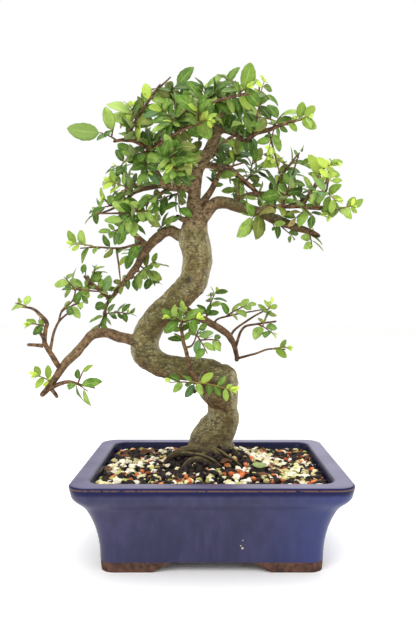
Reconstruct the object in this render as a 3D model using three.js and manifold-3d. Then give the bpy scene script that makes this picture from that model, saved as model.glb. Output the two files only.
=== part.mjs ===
// A chinese elm bonsai in its rectangular glazed pot: pot, soil, an S-shaped tree and its leafy sprays.
// Millimetres, +Z up, +X to the right of the front view, -Y towards the viewer, standing on z = 0.
import * as THREE from "three";
import { mergeVertices } from "three/addons/utils/BufferGeometryUtils.js";
import Module from "manifold-3d";

const wasm = await Module();
wasm.setup();

// Pot sizes
const RIM_LENGTH = 250;
const RIM_WIDTH = 195;
const RIM_CORNER = 17;
const CORNER_TIGHTENS = 0.2;
const POT_HEIGHT = 82;
const FOOT_HEIGHT = 9;
const POT_FLOOR = 18;
const FEET_APART = { atFloor: [55, 42], atBody: [36, 27] };
const DRAIN_HOLE = { radius: 9, x: 46, sides: 16 };

// Outer and inner wall of the pot, as the distance in from the rim's edge at each height
const OUTER_WALL = [
  [0, 25.2], [FOOT_HEIGHT, 24.5], [20, 23.8], [33, 21.8], [43, 19.1], [51, 16],
  [58.5, 12], [64.4, 6.7], [69, 2.8], [79.5, 0], [POT_HEIGHT, 1.2],
];
const INNER_WALL = [
  [POT_FLOOR, 34.5], [22, 32.5], [42, 28.5], [61, 21], [75, 18.2], [POT_HEIGHT + 1, 17],
];

// Drain nets
const NET_SIDE = 38;
const NET_THICKNESS = 1.4;
const NET_CELLS = 3;
const NET_BAR = 2.4;

// Soil
const SOIL_EDGE = 74.5;
const MOUND = { x: 0, y: -5, height: 23, spread: 45 };
const SOIL_CELL = 19;
const GRAIN_HEIGHT = 3.4;
// How far the low and the high points of a cell wander, as shares of the cell
const LOWS_WANDER = 0.45;
const PEAKS_WANDER = 0.3;

// Fits between touching pieces
const GAP = 0.3;
const CLEAR_FROM = 0.16;

// Leaf blades, as thick as this along the rib and thinning to a toothed edge
const RIB_THICKNESS = 1.2;
const BLADE_ARCH = 0.17;
// Outlines as [share of the length, share of the half width], with the points where the rib bends
const SMALL_LEAF = { upTo: 18.8, teeth: [[0.32, 1], [0.68, 0.82]], rib: [0.45] };
const MIDDLE_LEAF = { upTo: 26, teeth: [[0.3, 1], [0.5, 0.84], [0.75, 0.72]], rib: [0.45] };
const LARGE_LEAF = {
  upTo: Infinity,
  teeth: [[0.22, 0.86], [0.34, 0.82], [0.5, 1], [0.62, 0.8], [0.79, 0.66]],
  rib: [0.32, 0.7],
};
const LEAF_KINDS = [SMALL_LEAF, MIDDLE_LEAF, LARGE_LEAF];
const TRIES = 9;

// How a leaf differs from its shoot's leaf length, and how it lies: shares, and degrees off the shoot
const LEAF_LENGTH = { least: 1.05, more: 0.45, atFoot: 1.15, lessAtTip: 0.3 };
const LEAF_WIDTH = { least: 0.48, more: 0.1 };
const LEAF_SPREAD = { least: 42, more: 30, mostAtTip: 24 };
const FACES_LIGHT = new THREE.Vector3(0, -0.7, 0.58);
const FACES_OUT = 0.3;
const FACE_SCATTER = 1.5;

// Shoots that carry the leaves
const STEM_DIAMETER = { base: 3, tip: 2 };
const STEM_STEPS = 2;
const STEM_SIDES = 3;
const FIRST_LEAF_AT = 0.26;
// Shoots with so few leaves end in one, which grows from this share of the shoot
const LONE_LEAVES = 2;
const LONE_LEAF_AT = 0.9;
const STEM_LIFT = 0.1;

// The leaf that has dropped on the soil
const FALLEN_LEAF = { x: 38, y: -30, along: [0.96, 0.28, 0], length: 16, width: 8.5, step: 0.1 };

// Limbs thinner than this are slimmed by a power of their thickness
const TWIG = { from: 10, power: 1.3 };

// Branch ends as thick as this are rounded off: how far the end reaches and narrows, as shares of its radius
const BLUNT_END = { from: 6, reaches: 0.4, narrowsTo: 0.55 };

// Points closer than this are one, faces slimmer than this are dropped, and an overlap below this is none
const SAME_POINT = 1e-3;
const SLIVER = 0.2;
const NO_OVERLAP = 1e-3;

// The middle of the whole plant's footprint, seen from the middle of the pot
const FOOTPRINT_MIDDLE = { x: -24.7, y: 3.9 };

// The tree is drawn in its front view, at the plane through the pot's centre, as [x, z, depth, diameter].
// Each point then moves to its depth along the line of sight from the viewer's eye, so the front view holds.
const EYE = new THREE.Vector3(-3.4, -609.5, 235);

const TRUNK_FOOT = [
  [0, 68, 8, 44], [0, 90, 8, 50], [0.5, 102, 8, 45], [3, 109, 8, 40], [8, 117, 7, 37], [11.3, 125, 5, 33],
  [11.5, 134, 3, 30], [11.5, 141, 1, 30], [10, 147, -2, 35], [7.5, 154, -4, 40], [7, 163, -4, 40],
  [8, 172, -3, 34], [8.5, 178, -2, 20],
];
const TRUNK_RISE = [
  [9, 171, 2, 20], [0, 171.5, 3, 24], [-11, 173, 3, 25], [-19.5, 174, 3, 25], [-39, 175, 3, 24],
  [-56, 180.5, 6, 26], [-66.5, 192.5, 8, 29.5], [-65, 207, 8, 28], [-56, 223, 7, 26.5],
  [-37, 241.5, 5, 27.5], [-20.5, 258.5, 3, 29], [-15, 275, 1, 29.5], [-14, 286.5, 0, 30],
  [-16.5, 300, 0, 31], [-17.5, 311, 1, 28], [-15.5, 324.5, 3, 23], [-17, 338, 5, 17],
  [-17, 347.5, 6, 13], [-14, 370.5, 7, 11.5], [-9.5, 380, 8, 12], [0, 397, 6, 12.5],
  [5, 411, 3, 11], [6, 416.5, 2, 9],
];

// Roots at the soil's surface, from the trunk's foot outwards
const ROOTS = [
  [[-51, 74, -6, 6.5], [-40, 85, -13, 8], [-29.5, 91, -16, 8.5], [-12, 94, -17, 8.5],
    [-1.5, 91.5, -20, 8.5], [9, 88, -21, 8], [24, 78, -19, 6.5]],
  [[-31, 70, -34, 6], [-21.5, 80.5, -33, 7], [-13, 82.5, -33, 7.5], [-5, 80, -34, 7], [5, 72, -36, 6]],
  [[-4, 94, -4, 12], [-7, 88, -20, 8], [-10, 80, -33, 6]],
  [[8, 94, 4, 16], [28, 85, -3, 9], [44, 75, -9, 6], [56, 68, -14, 4]],
  [[-8, 94, 6, 16], [-30, 85, 8, 9], [-47, 76, 6, 6], [-60, 69, 2, 4]],
  [[4, 94, 16, 14], [8, 86, 38, 9], [14, 78, 54, 6], [18, 72, 66, 4]],
];

// Branches on the left: the low one with its forks, then the middle one that droops
const LOW_LEFT = [
  [[-66, 200, 6, 13], [-79, 202.5, -2, 11.5], [-92.5, 206, -8, 10.5], [-107.5, 210, -14, 10],
    [-119, 208, -18, 9.5], [-128.5, 198.5, -22, 9], [-138.5, 187, -26, 9], [-148, 177.5, -29, 8.5],
    [-155.5, 166, -32, 7.5], [-163, 156.5, -34, 7], [-170, 148, -36, 6]],
  [[-163, 156, -34, 5.5], [-155.5, 146, -33, 4.5]],
  [[-151, 173, -30, 6.5], [-161, 189, -33, 6], [-168, 200.5, -35, 5.5], [-166.5, 213, -36, 5],
    [-165.5, 220, -36, 4.8], [-172.5, 229, -35, 4.5], [-180, 234.5, -34, 3.5], [-190, 236, -33, 2.5]],
  [[-162, 192, -33, 4], [-158.5, 209.5, -29, 3.6], [-154, 220, -25, 3.3], [-147, 227.5, -21, 3],
    [-139.5, 232, -18, 2.5]],
  [[-154, 220, -25, 3], [-150, 232.5, -24, 2.8], [-139.5, 242.5, -22, 2.5], [-136, 254, -20, 2.2]],
  [[-169, 197, -35, 5], [-184, 198, -38, 4]],
  [[-168, 204, -36, 5], [-173, 212, -40, 4]],
  [[-163, 154, -35, 6], [-153, 158.5, -38, 5], [-143, 161, -41, 4.2], [-130.5, 157.5, -43, 3],
    [-117, 154.5, -44, 2.2]],
];
const MIDDLE_LEFT = [
  [[-20, 304, 1, 14], [-31, 307.5, 6, 12], [-42.5, 313, 10, 11], [-54, 305.5, 14, 10.5],
    [-63.5, 296, 17, 9.5], [-69.5, 286.5, 20, 8.5], [-79, 271, 23, 7.5], [-88.5, 259.5, 26, 6.5],
    [-98, 248, 28, 5.5], [-105, 238.5, 29, 4.5], [-107.5, 227, 30, 3.5], [-113.5, 214, 31, 3]],
  [[-63.5, 296, 17, 8], [-76, 308, 10, 6.5], [-84, 319, 4, 5]],
  [[-70, 300, 13, 4], [-92, 295, 10, 3.2], [-115, 296, 6, 2.6], [-131.5, 295, 4, 2]],
  [[-101, 244, 28, 5], [-111.5, 252, 24, 5], [-127, 266.5, 20, 4.5]],
  [[-60, 300, 16, 5], [-66, 298, 36, 4.4], [-74, 292, 54, 3.4]],
];

// Branches on the right: the low one behind the trunk, the front shoot, then the thick upper limb
const LOW_RIGHT = [
  [[-36, 240, 8, 10], [-20, 229, 15, 9], [-4.5, 221.5, 18, 8.5], [9, 214, 22, 8], [18.5, 206, 24, 7.5],
    [23.5, 196.5, 25, 6.5], [25.5, 183, 26, 5.5]],
  [[25.5, 184, 26, 4], [43.5, 189, 23, 3.3], [57, 193.5, 20, 2.8], [74, 193.5, 17, 2.2]],
  [[24, 194, 25, 4], [31, 214, 20, 3.6], [43.5, 218.5, 16, 3.3], [64.5, 221.5, 12, 3]],
  [[19, 206, 24, 4], [24.5, 214, 28, 3.4], [43.5, 227, 32, 3], [59, 235, 35, 2.4]],
  [[2, 218, 20, 3.6], [9, 225, 16, 3], [43, 232, 9, 2.5], [52, 233, 7, 2]],
  [[-5, 221.5, 18, 3.6], [-4.5, 229, 21, 3], [-0.5, 240.5, 23, 2.5], [-0.5, 250, 24, 2]],
];
const FRONT_SHOOT = [
  [[-1, 157, -13, 6.5], [-12, 158, -22, 6], [-16, 164, -24, 5.5], [-21.5, 175.5, -23, 5],
    [-26.5, 194.5, -20, 5], [-30, 212, -17, 4.5], [-31, 218, -16, 4]],
  [[-27, 195, -20, 3.4], [-19, 198, -24, 2.8], [-13, 213, -27, 2.2]],
  [[-11, 157.5, -22, 5], [-17, 150, -27, 3.6]],
];
const UPPER_RIGHT = [
  [[-12, 322, 1, 15], [-5.5, 330.5, -2, 13.5], [4, 340, -5, 12.5], [17.5, 340, -8, 12],
    [32.5, 335, -12, 11], [50, 330.5, -15, 10.5], [65, 323.5, -18, 10], [82.5, 317, -20, 8.5],
    [99.5, 311, -22, 6.5], [107.5, 307.5, -23, 5]],
  [[47, 331, -15, 7], [56, 336, -22, 5.8], [77.5, 337, -30, 5], [87.5, 336.5, -33, 4.5],
    [102, 335, -36, 4], [126.5, 333.5, -40, 3], [135.5, 335, -42, 2.4]],
  [[77, 337, -30, 4.6], [90.5, 342.5, -26, 4.2], [102.5, 354, -20, 3.8], [115.5, 370, -14, 3]],
  [[102, 353.5, -20, 3.8], [106, 364, -28, 3.2], [114, 378, -35, 2.4]],
  [[102, 335, -36, 3.8], [110, 346.5, -44, 3.2], [115.5, 353.5, -48, 3], [116.5, 365.5, -50, 2.4]],
  [[20, 339, -8, 7], [34, 348, 10, 5.8], [56, 350, 30, 5], [72, 348, 44, 4]],
];

// Branches of the crown
const CROWN_LEFT = [
  [[-17, 357, 6, 10], [-32.5, 356, -2, 9.5], [-47.5, 359, -10, 9], [-55.5, 370.5, -16, 8],
    [-57.5, 384, -20, 7.5], [-61, 393.5, -24, 7], [-70.5, 399.5, -28, 6], [-82, 404, -32, 5],
    [-97.5, 402, -36, 3.5]],
  [[-46, 359, -9, 7], [-65, 355, -3, 6], [-78.5, 350.5, 3, 5.5], [-88, 340, 8, 4.5],
    [-101, 334, 12, 3.5], [-114, 329, 15, 2.6]],
  [[-38, 357, -5, 5.4], [-51.5, 349.5, -12, 4.6], [-62, 342.5, -18, 4], [-74.5, 333.5, -24, 3.4],
    [-84, 330, -27, 2.6]],
  [[-82, 404, -32, 5], [-78, 419, -36, 4.2], [-52.5, 457.5, -45, 3]],
  [[-59, 391, -22, 5], [-57, 397.5, -28, 4.4], [-40, 408, -40, 3.8], [-25, 416.5, -50, 3.2],
    [-10, 420, -56, 2.4]],
  [[-70, 354, -1, 4.6], [-80, 362, 12, 4.2], [-92, 372, 32, 3.4]],
  [[-32, 356, -2, 6.5], [-34, 364, -30, 5.4], [-40, 374, -50, 4.4], [-46, 382, -62, 3.4]],
];
const CROWN_TOP = [
  [[-16, 350, 6, 9], [-17.5, 364, 12, 8.5], [-17.5, 379, 14, 6.5]],
  [[-12, 337, 4, 9], [-3, 349, 0, 7.5], [4, 362, -3, 6.5], [9, 372, -5, 5]],
  [[-18, 320, 2, 9], [-26, 323, -4, 7], [-34, 327, -8, 5]],
  [[-10, 379, 8, 8.5], [2, 377.5, 14, 7.5], [15.5, 376.5, 20, 7], [27, 367, 25, 6.5],
    [40.5, 356, 29, 5.8], [52, 345.5, 32, 5], [62, 352, 30, 4.5], [69, 365.5, 28, 4],
    [77.5, 377, 26, 3.4], [86, 388, 24, 2.6]],
  [[4, 408, 3, 8], [12, 413, -4, 6.8], [25, 409, -12, 6], [34.5, 403, -18, 6], [44, 410, -24, 5.5],
    [59.5, 414.5, -30, 5], [76.5, 420.5, -36, 4], [90, 424, -39, 3]],
  [[4, 412, 2, 7], [-10, 424, -14, 6], [-17, 430, -22, 5.4], [-2, 439.5, -34, 4.4],
    [21, 447, -44, 3.4], [34, 450, -49, 2.4]],
  [[3, 411, 3, 7], [12, 430, 12, 5.4], [20, 450, 18, 4], [24, 462, 21, 2.8]],
  [[44, 410, -24, 4.6], [48, 423, -14, 3.8], [48, 436, -4, 3.4], [48, 458, 3, 2.4]],
  [[3, 411, 3, 7], [-16, 416, 18, 6], [-30, 424, 29, 5], [-36, 440, 34, 4], [-40, 458, 37, 3]],
  [[-17.5, 362, 12, 8], [-30, 368, 36, 6.8], [-44, 380, 58, 5.6], [-54, 392, 74, 4]],
  [[-10, 380, 9, 8], [4, 392, 36, 6.6], [14, 402, 58, 5.2], [24, 408, 74, 4]],
];
const BRANCHES = [LOW_LEFT, MIDDLE_LEFT, LOW_RIGHT, FRONT_SHOOT, UPPER_RIGHT, CROWN_LEFT, CROWN_TOP].flat();

// Sprays: where each leaves its branch, and its shoots, each by its tip, number of leaves and leaf length.
// The first shoot carries the others, which fork from it.
const FORKS_AT = 0.35;
const SPRAYS = [
  // On the crown's left
  spray([-94, 403, -35], shoot([-112, 411, -42], 1, 26), shoot([-98, 416, -50], 4, 15)),
  spray([-80, 411, -33], shoot([-78, 438, -30], 5, 19), shoot([-84, 430, -24], 4, 15)),
  spray([-61, 392, -24], shoot([-82, 386, -31], 4, 16), shoot([-64, 370, -36], 3, 15),
    shoot([-48, 398, -30], 5, 14)),
  spray([-46, 381, -60], shoot([-33, 398, -68], 4, 15), shoot([-34, 366, -72], 3, 14),
    shoot([-22, 380, -66], 5, 14)),
  spray([-90, 370, 29], shoot([-97, 378, 48], 4, 14), shoot([-100, 364, 14], 4, 16),
    shoot([-84, 386, 36], 4, 14)),
  spray([-76, 351, 2], shoot([-104, 362, -6], 4, 14), shoot([-88, 342, -14], 4, 14)),
  spray([-92, 338, 9], shoot([-120, 332, 18], 4, 14), shoot([-92, 350, 20], 3, 13),
    shoot([-108, 344, 0], 3, 13)),
  spray([-70, 337, -22], shoot([-92, 318, -34], 5, 15), shoot([-58, 330, -26], 3, 15),
    shoot([-78, 312, -14], 4, 14)),
  spray([-34, 356, -3], shoot([-32, 334, -12], 4, 15), shoot([-54, 342, -4], 4, 14)),
  spray([-30, 413, -46], shoot([-50, 434, -44], 4, 18), shoot([-40, 420, -62], 3, 15),
    shoot([-24, 432, -56], 4, 15)),
  spray([-18, 418, -53], shoot([-3, 424, -68], 4, 13), shoot([-14, 440, -64], 4, 17)),
  // On the crown's top
  spray([-38, 450, 36], shoot([-55, 456, 28], 4, 17), shoot([-25, 458, 30], 4, 20),
    shoot([-36, 438, 52], 5, 16)),
  spray([-8, 436, -30], shoot([-6, 458, -26], 5, 19), shoot([10, 446, -38], 4, 16)),
  spray([16, 441, 15], shoot([13, 463, 12], 4, 20), shoot([30, 436, 30], 4, 17), shoot([2, 438, 26], 5, 16)),
  spray([26, 448, -46], shoot([37, 456, -54], 4, 19), shoot([20, 462, -40], 3, 15)),
  spray([48, 444, 0], shoot([53, 462, 6], 3, 11), shoot([58, 444, -8], 4, 15), shoot([34, 440, 10], 5, 16)),
  spray([84, 422, -38], shoot([98, 427, -46], 5, 13)),
  spray([61, 414.5, -31], shoot([73, 431, -24], 4, 14), shoot([58, 396, -36], 4, 13),
    shoot([46, 426, -40], 4, 14)),
  spray([-52, 390, 72], shoot([-66, 408, 90], 4, 16), shoot([-44, 410, 74], 4, 16),
    shoot([-36, 384, 86], 5, 14)),
  spray([22, 407, 72], shoot([38, 420, 88], 4, 16), shoot([16, 424, 76], 4, 16), shoot([32, 396, 90], 5, 14)),
  spray([-17.5, 377, 14], shoot([-28, 400, 26], 5, 16), shoot([-42, 384, 30], 5, 15)),
  // On the right
  spray([20, 373, 22], shoot([28, 394, 14], 5, 15), shoot([8, 384, 34], 4, 15)),
  spray([34, 361, 27], shoot([48, 374, 38], 4, 16), shoot([20, 348, 38], 4, 13), shoot([42, 386, 22], 4, 14)),
  spray([72, 369, 27], shoot([88, 386, 34], 4, 14), shoot([59, 386, 14], 4, 12), shoot([84, 366, 46], 4, 13)),
  spray([70, 337, -28], shoot([82, 364, -36], 5, 15), shoot([60, 354, -18], 4, 14),
    shoot([92, 348, -22], 5, 13)),
  spray([106, 358, -18], shoot([118, 372, -6], 5, 13), shoot([100, 384, -8], 4, 12)),
  spray([112, 374, -33], shoot([124, 380, -42], 4, 11)),
  spray([114, 352, -47], shoot([125, 342, -56], 5, 12), shoot([102, 352, -64], 4, 12)),
  spray([128, 334, -40], shoot([142, 337, -48], 4, 13), shoot([118, 329, -46], 4, 11)),
  spray([90, 336, -33], shoot([104, 325, -44], 5, 15), shoot([82, 322, -26], 4, 13)),
  spray([98, 311, -22], shoot([101, 297, -30], 5, 12)),
  spray([50, 330, -16], shoot([41, 325, -25], 2, 22)),
  spray([56, 327, -16], shoot([64, 315, -26], 3, 12), shoot([84, 304, -12], 4, 12)),
  spray([70, 348, 42], shoot([88, 356, 58], 4, 15), shoot([72, 366, 52], 3, 14), shoot([60, 338, 60], 4, 13)),
  // On the drooping branch
  spray([-82, 317, 5], shoot([-104, 309, -4], 5, 12), shoot([-88, 332, 18], 4, 12)),
  spray([-48, 310, 12], shoot([-56, 325, 14], 4, 12), shoot([-42, 322, 0], 3, 12)),
  spray([-116, 296, 6], shoot([-139, 299, 0], 5, 13)),
  spray([-74, 280, 22], shoot([-57, 260, 36], 4, 13), shoot([-55, 281, 15], 4, 16),
    shoot([-78, 264, 36], 3, 13)),
  spray([-113, 253.5, 24], shoot([-147, 254, 14], 5, 14), shoot([-116, 274, 34], 4, 12),
    shoot([-134, 240, 34], 3, 13)),
  spray([-107, 229, 30], shoot([-82, 229, 22], 4, 11)),
  spray([-72, 293, 50], shoot([-84, 286, 66], 4, 14), shoot([-62, 302, 66], 4, 13)),
  // On the low left branch
  spray([-184, 235, -34], shoot([-197, 240, -28], 4, 10)),
  spray([-166, 216, -36], shoot([-181, 219, -46], 3, 10)),
  spray([-150, 232, -24], shoot([-129, 240, -32], 5, 11)),
  spray([-137, 252, -20], shoot([-148, 266, -12], 4, 13)),
  spray([-140, 160.5, -41], shoot([-124, 151, -50], 4, 15), shoot([-127, 175, -38], 3, 12)),
  spray([-160, 160, -34], shoot([-176, 167, -44], 4, 10)),
  // On the front shoot and the low right branch
  spray([-30, 214, -16], shoot([-26, 232, -22], 5, 15), shoot([-42, 226, -22], 3, 12),
    shoot([-14, 224, -26], 3, 12)),
  spray([-15, 208, -26], shoot([-4, 189, -34], 4, 12), shoot([8, 202, -20], 3, 11)),
  spray([-12, 157.5, -22], shoot([-42, 160, -30], 3, 13), shoot([22, 151, -36], 5, 12)),
  spray([60, 193.5, 19], shoot([77, 195, 12], 4, 10)),
  spray([46, 219, 15], shoot([62, 209, 4], 4, 13), shoot([60, 240, 18], 4, 11)),
  spray([14, 226, 15], shoot([38, 238, 2], 5, 13)),
  spray([-2, 236, 22], shoot([5, 252, 30], 5, 12)),
];

function shoot(tip, leaves, length) {
  return { tip, leaves, length };
}

function spray(base, ...shoots) {
  return { base, shoots };
}

// Seeded random numbers between 0 and 1
function seeded(seed) {
  let state = seed >>> 0;
  return () => {
    state = (state + 0x6d2b79f5) >>> 0;
    let mixed = Math.imul(state ^ (state >>> 15), state | 1);
    mixed ^= mixed + Math.imul(mixed ^ (mixed >>> 7), mixed | 61);
    return ((mixed ^ (mixed >>> 14)) >>> 0) / 4294967296;
  };
}

// A closed body from its points and triangles, turned so that its faces point out
function solid(points, triangles) {
  let volume = 0;
  for (const [a, b, c] of triangles) {
    volume += points[a].dot(points[b].clone().cross(points[c]));
  }
  const facing = volume < 0 ? triangles.map(([a, b, c]) => [a, c, b]) : triangles;
  const mesh = new wasm.Mesh({
    numProp: 3,
    vertProperties: new Float32Array(points.flatMap((point) => point.toArray())),
    triVerts: new Uint32Array(facing.flat()),
  });
  return new wasm.Manifold(mesh);
}

// A closed body through rings of equal numbers of points, flat at both ends
function loft(rings) {
  const around = rings[0].length;
  const triangles = [];
  for (let ring = 0; ring + 1 < rings.length; ring += 1) {
    for (let i = 0; i < around; i += 1) {
      const low = ring * around + i;
      const lowNext = ring * around + ((i + 1) % around);
      triangles.push([low, lowNext, lowNext + around], [low, lowNext + around, low + around]);
    }
  }
  const last = (rings.length - 1) * around;
  for (let i = 1; i + 1 < around; i += 1) {
    triangles.push([0, i + 1, i], [last, last + i, last + i + 1]);
  }
  return solid(rings.flat(), triangles);
}

function box(low, high) {
  const corners = [[0, 0], [1, 0], [1, 1], [0, 1]];
  const ring = (z) =>
    corners.map(([x, y]) => new THREE.Vector3(x ? high[0] : low[0], y ? high[1] : low[1], z));
  return loft([ring(low[2]), ring(high[2])]);
}

// The pot's rounded rectangle, a distance in from the rim's edge
function outline(inset, z) {
  const cornerSteps = 3;
  const radius = RIM_CORNER - CORNER_TIGHTENS * inset;
  const halfLength = RIM_LENGTH / 2 - inset - radius;
  const halfWidth = RIM_WIDTH / 2 - inset - radius;
  const points = [];
  for (let corner = 0; corner < 4; corner += 1) {
    const x = corner === 0 || corner === 3 ? halfLength : -halfLength;
    const y = corner < 2 ? halfWidth : -halfWidth;
    for (let step = 0; step <= cornerSteps; step += 1) {
      const angle = (Math.PI / 2) * (corner + step / cornerSteps);
      points.push(new THREE.Vector3(x + radius * Math.cos(angle), y + radius * Math.sin(angle), z));
    }
  }
  return points;
}

function walls(profile, grown = 0) {
  return loft(profile.map(([z, inset]) => outline(inset + grown, z)));
}

// The slot between two feet, wider where it meets the ground, along x or along y
function footSlot(halfAtGround, halfAtBody, alongX) {
  const reach = RIM_LENGTH;
  const corners = [
    [-halfAtGround, -1], [halfAtGround, -1], [halfAtBody, FOOT_HEIGHT], [-halfAtBody, FOOT_HEIGHT],
  ];
  const corner = (end, side, z) =>
    (alongX ? new THREE.Vector3(end, side, z) : new THREE.Vector3(side, end, z));
  const ring = (end) => corners.map(([side, z]) => corner(end, side, z));
  return loft([ring(-reach), ring(reach)]);
}

// A drain hole's bore through the pot's floor
function drainBore(x) {
  const circle = (z) => Array.from({ length: DRAIN_HOLE.sides }, (_, i) => {
    const angle = (2 * Math.PI * i) / DRAIN_HOLE.sides;
    return new THREE.Vector3(x + DRAIN_HOLE.radius * Math.cos(angle), DRAIN_HOLE.radius * Math.sin(angle), z);
  });
  return loft([circle(0), circle(POT_FLOOR + 1)]);
}

// One fired piece: flared walls, rolled rim, four feet and two drain holes
function makePot() {
  let pot = walls(OUTER_WALL).subtract(walls(INNER_WALL));
  pot = pot.subtract(footSlot(FEET_APART.atFloor[0], FEET_APART.atBody[0], false));
  pot = pot.subtract(footSlot(FEET_APART.atFloor[1], FEET_APART.atBody[1], true));
  return pot.subtract(drainBore(-DRAIN_HOLE.x)).subtract(drainBore(DRAIN_HOLE.x));
}

// A square of plastic net that keeps the soil in over a drain hole
function makeNet(x) {
  const floor = POT_FLOOR + GAP;
  const top = floor + NET_THICKNESS;
  const half = NET_SIDE / 2;
  const pitch = (NET_SIDE - NET_BAR) / NET_CELLS;
  const open = pitch - NET_BAR;
  let net = box([x - half, -half, floor], [x + half, half, top]);
  for (let i = 0; i < NET_CELLS; i += 1) {
    for (let j = 0; j < NET_CELLS; j += 1) {
      const left = x - half + NET_BAR + i * pitch;
      const front = -half + NET_BAR + j * pitch;
      net = net.subtract(box([left, front, floor - 1], [left + open, front + open, top + 1]));
    }
  }
  return net;
}

function soilHeight(x, y) {
  const away = ((x - MOUND.x) ** 2 + (y - MOUND.y) ** 2) / MOUND.spread ** 2;
  return SOIL_EDGE + MOUND.height * Math.exp(-away);
}

// The soil, mounded to the trunk, its top raised into grains, one low peak to each cell
function makeSoil(woodBelow) {
  const random = seeded(11);
  const columns = Math.ceil(RIM_LENGTH / SOIL_CELL);
  const rows = Math.ceil(RIM_WIDTH / SOIL_CELL);
  const points = [];
  const triangles = [];
  const corner = (column, row) => row * (columns + 1) + column;
  for (let row = 0; row <= rows; row += 1) {
    for (let column = 0; column <= columns; column += 1) {
      const x = (column - columns / 2 + (random() - 0.5) * LOWS_WANDER) * SOIL_CELL;
      const y = (row - rows / 2 + (random() - 0.5) * LOWS_WANDER) * SOIL_CELL;
      points.push(new THREE.Vector3(x, y, soilHeight(x, y) - random()));
    }
  }
  for (let row = 0; row < rows; row += 1) {
    for (let column = 0; column < columns; column += 1) {
      const x = (column + 0.5 - columns / 2 + (random() - 0.5) * PEAKS_WANDER) * SOIL_CELL;
      const y = (row + 0.5 - rows / 2 + (random() - 0.5) * PEAKS_WANDER) * SOIL_CELL;
      const peak = points.push(new THREE.Vector3(x, y, soilHeight(x, y) + GRAIN_HEIGHT * random())) - 1;
      const around = [
        corner(column, row), corner(column + 1, row), corner(column + 1, row + 1), corner(column, row + 1),
      ];
      around.forEach((point, i) => triangles.push([point, around[(i + 1) % 4], peak]));
    }
  }
  const edge = [
    ...Array.from({ length: columns }, (_, i) => corner(i, 0)),
    ...Array.from({ length: rows }, (_, i) => corner(columns, i)),
    ...Array.from({ length: columns }, (_, i) => corner(columns - i, rows)),
    ...Array.from({ length: rows }, (_, i) => corner(0, rows - i)),
  ];
  const under = points.length;
  edge.forEach((point) => points.push(new THREE.Vector3(points[point].x, points[point].y, 0)));
  const middle = points.push(new THREE.Vector3(0, 0, 0)) - 1;
  edge.forEach((point, i) => {
    const next = (i + 1) % edge.length;
    triangles.push([edge[next], point, under + i], [edge[next], under + i, under + next]);
    triangles.push([under + next, under + i, middle]);
  });
  const inside = walls([[POT_FLOOR + GAP, INNER_WALL[0][1]], ...INNER_WALL.slice(1)], GAP);
  const recess = NET_SIDE / 2 + GAP;
  const overNet = POT_FLOOR + 2 * GAP + NET_THICKNESS;
  let soil = solid(points, triangles).intersect(inside);
  for (const x of [-DRAIN_HOLE.x, DRAIN_HOLE.x]) {
    soil = soil.subtract(box([x - recess, -recess, 0], [x + recess, recess, overNet]));
  }
  return settled(largest(soil.subtract(woodBelow)));
}

// The largest body of a solid: what a cut leaves loose is dropped
function largest(cut) {
  const bodies = cut.decompose();
  return bodies.reduce((most, body) => (body.volume() > most.volume() ? body : most));
}

// A drawn point at its depth
function place([x, z, depth]) {
  const reach = (depth - EYE.y) / -EYE.y;
  return new THREE.Vector3(EYE.x + (x - EYE.x) * reach, depth, EYE.z + (z - EYE.z) * reach);
}

function sidesFor(diameter) {
  if (diameter >= 20) {
    return 10;
  }
  if (diameter >= 9) {
    return 6;
  }
  return diameter >= 7 ? 5 : 4;
}

// A ring round a centre, square to the way the limb runs there, carried on from the last ring's side
function ringAt(centre, along, side, radius, count) {
  const across = side.clone().addScaledVector(along, -side.dot(along)).normalize();
  const third = new THREE.Vector3().crossVectors(along, across);
  return Array.from({ length: count }, (_, i) => {
    const angle = (2 * Math.PI * i) / count;
    return centre.clone()
      .addScaledVector(across, radius * Math.cos(angle))
      .addScaledVector(third, radius * Math.sin(angle));
  });
}

// A round, tapering limb through its points, flat where it starts and blunt at its end
function limb(centres, diameters, sides, grown = 0) {
  const ways = centres.map((_, i) =>
    centres[Math.min(i + 1, centres.length - 1)].clone().sub(centres[Math.max(i - 1, 0)]).normalize());
  const side = Math.abs(ways[0].z) < 0.8 ? new THREE.Vector3(0, 0, 1) : new THREE.Vector3(0, 1, 0);
  const rings = [];
  const addRing = (centre, way, radius) => {
    const ring = ringAt(centre, way, side, radius, sides);
    side.copy(ring[0]).sub(centre).normalize();
    rings.push(ring);
  };
  const radii = diameters.map((diameter) => diameter / 2 + grown);
  const last = centres.length - 1;
  addRing(centres[0].clone().addScaledVector(ways[0], -grown), ways[0], radii[0]);
  centres.slice(1, last).forEach((centre, i) => addRing(centre, ways[i + 1], radii[i + 1]));
  addRing(centres[last], ways[last], radii[last]);
  if (diameters[last] >= BLUNT_END.from || grown) {
    const reach = BLUNT_END.reaches * radii[last] + grown;
    const end = centres[last].clone().addScaledVector(ways[last], reach);
    addRing(end, ways[last], radii[last] * BLUNT_END.narrowsTo);
  }
  return loft(rings);
}

// Twigs are slimmer than they are drawn, because their buds and stalks were drawn with them
function slimmed(diameter) {
  return diameter < TWIG.from ? TWIG.from * (diameter / TWIG.from) ** TWIG.power : diameter;
}

function drawnLimb(points, grown) {
  const diameters = points.map((point) => slimmed(point[3]));
  return limb(points.map(place), diameters, sidesFor(Math.max(...diameters)), grown);
}

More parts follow.
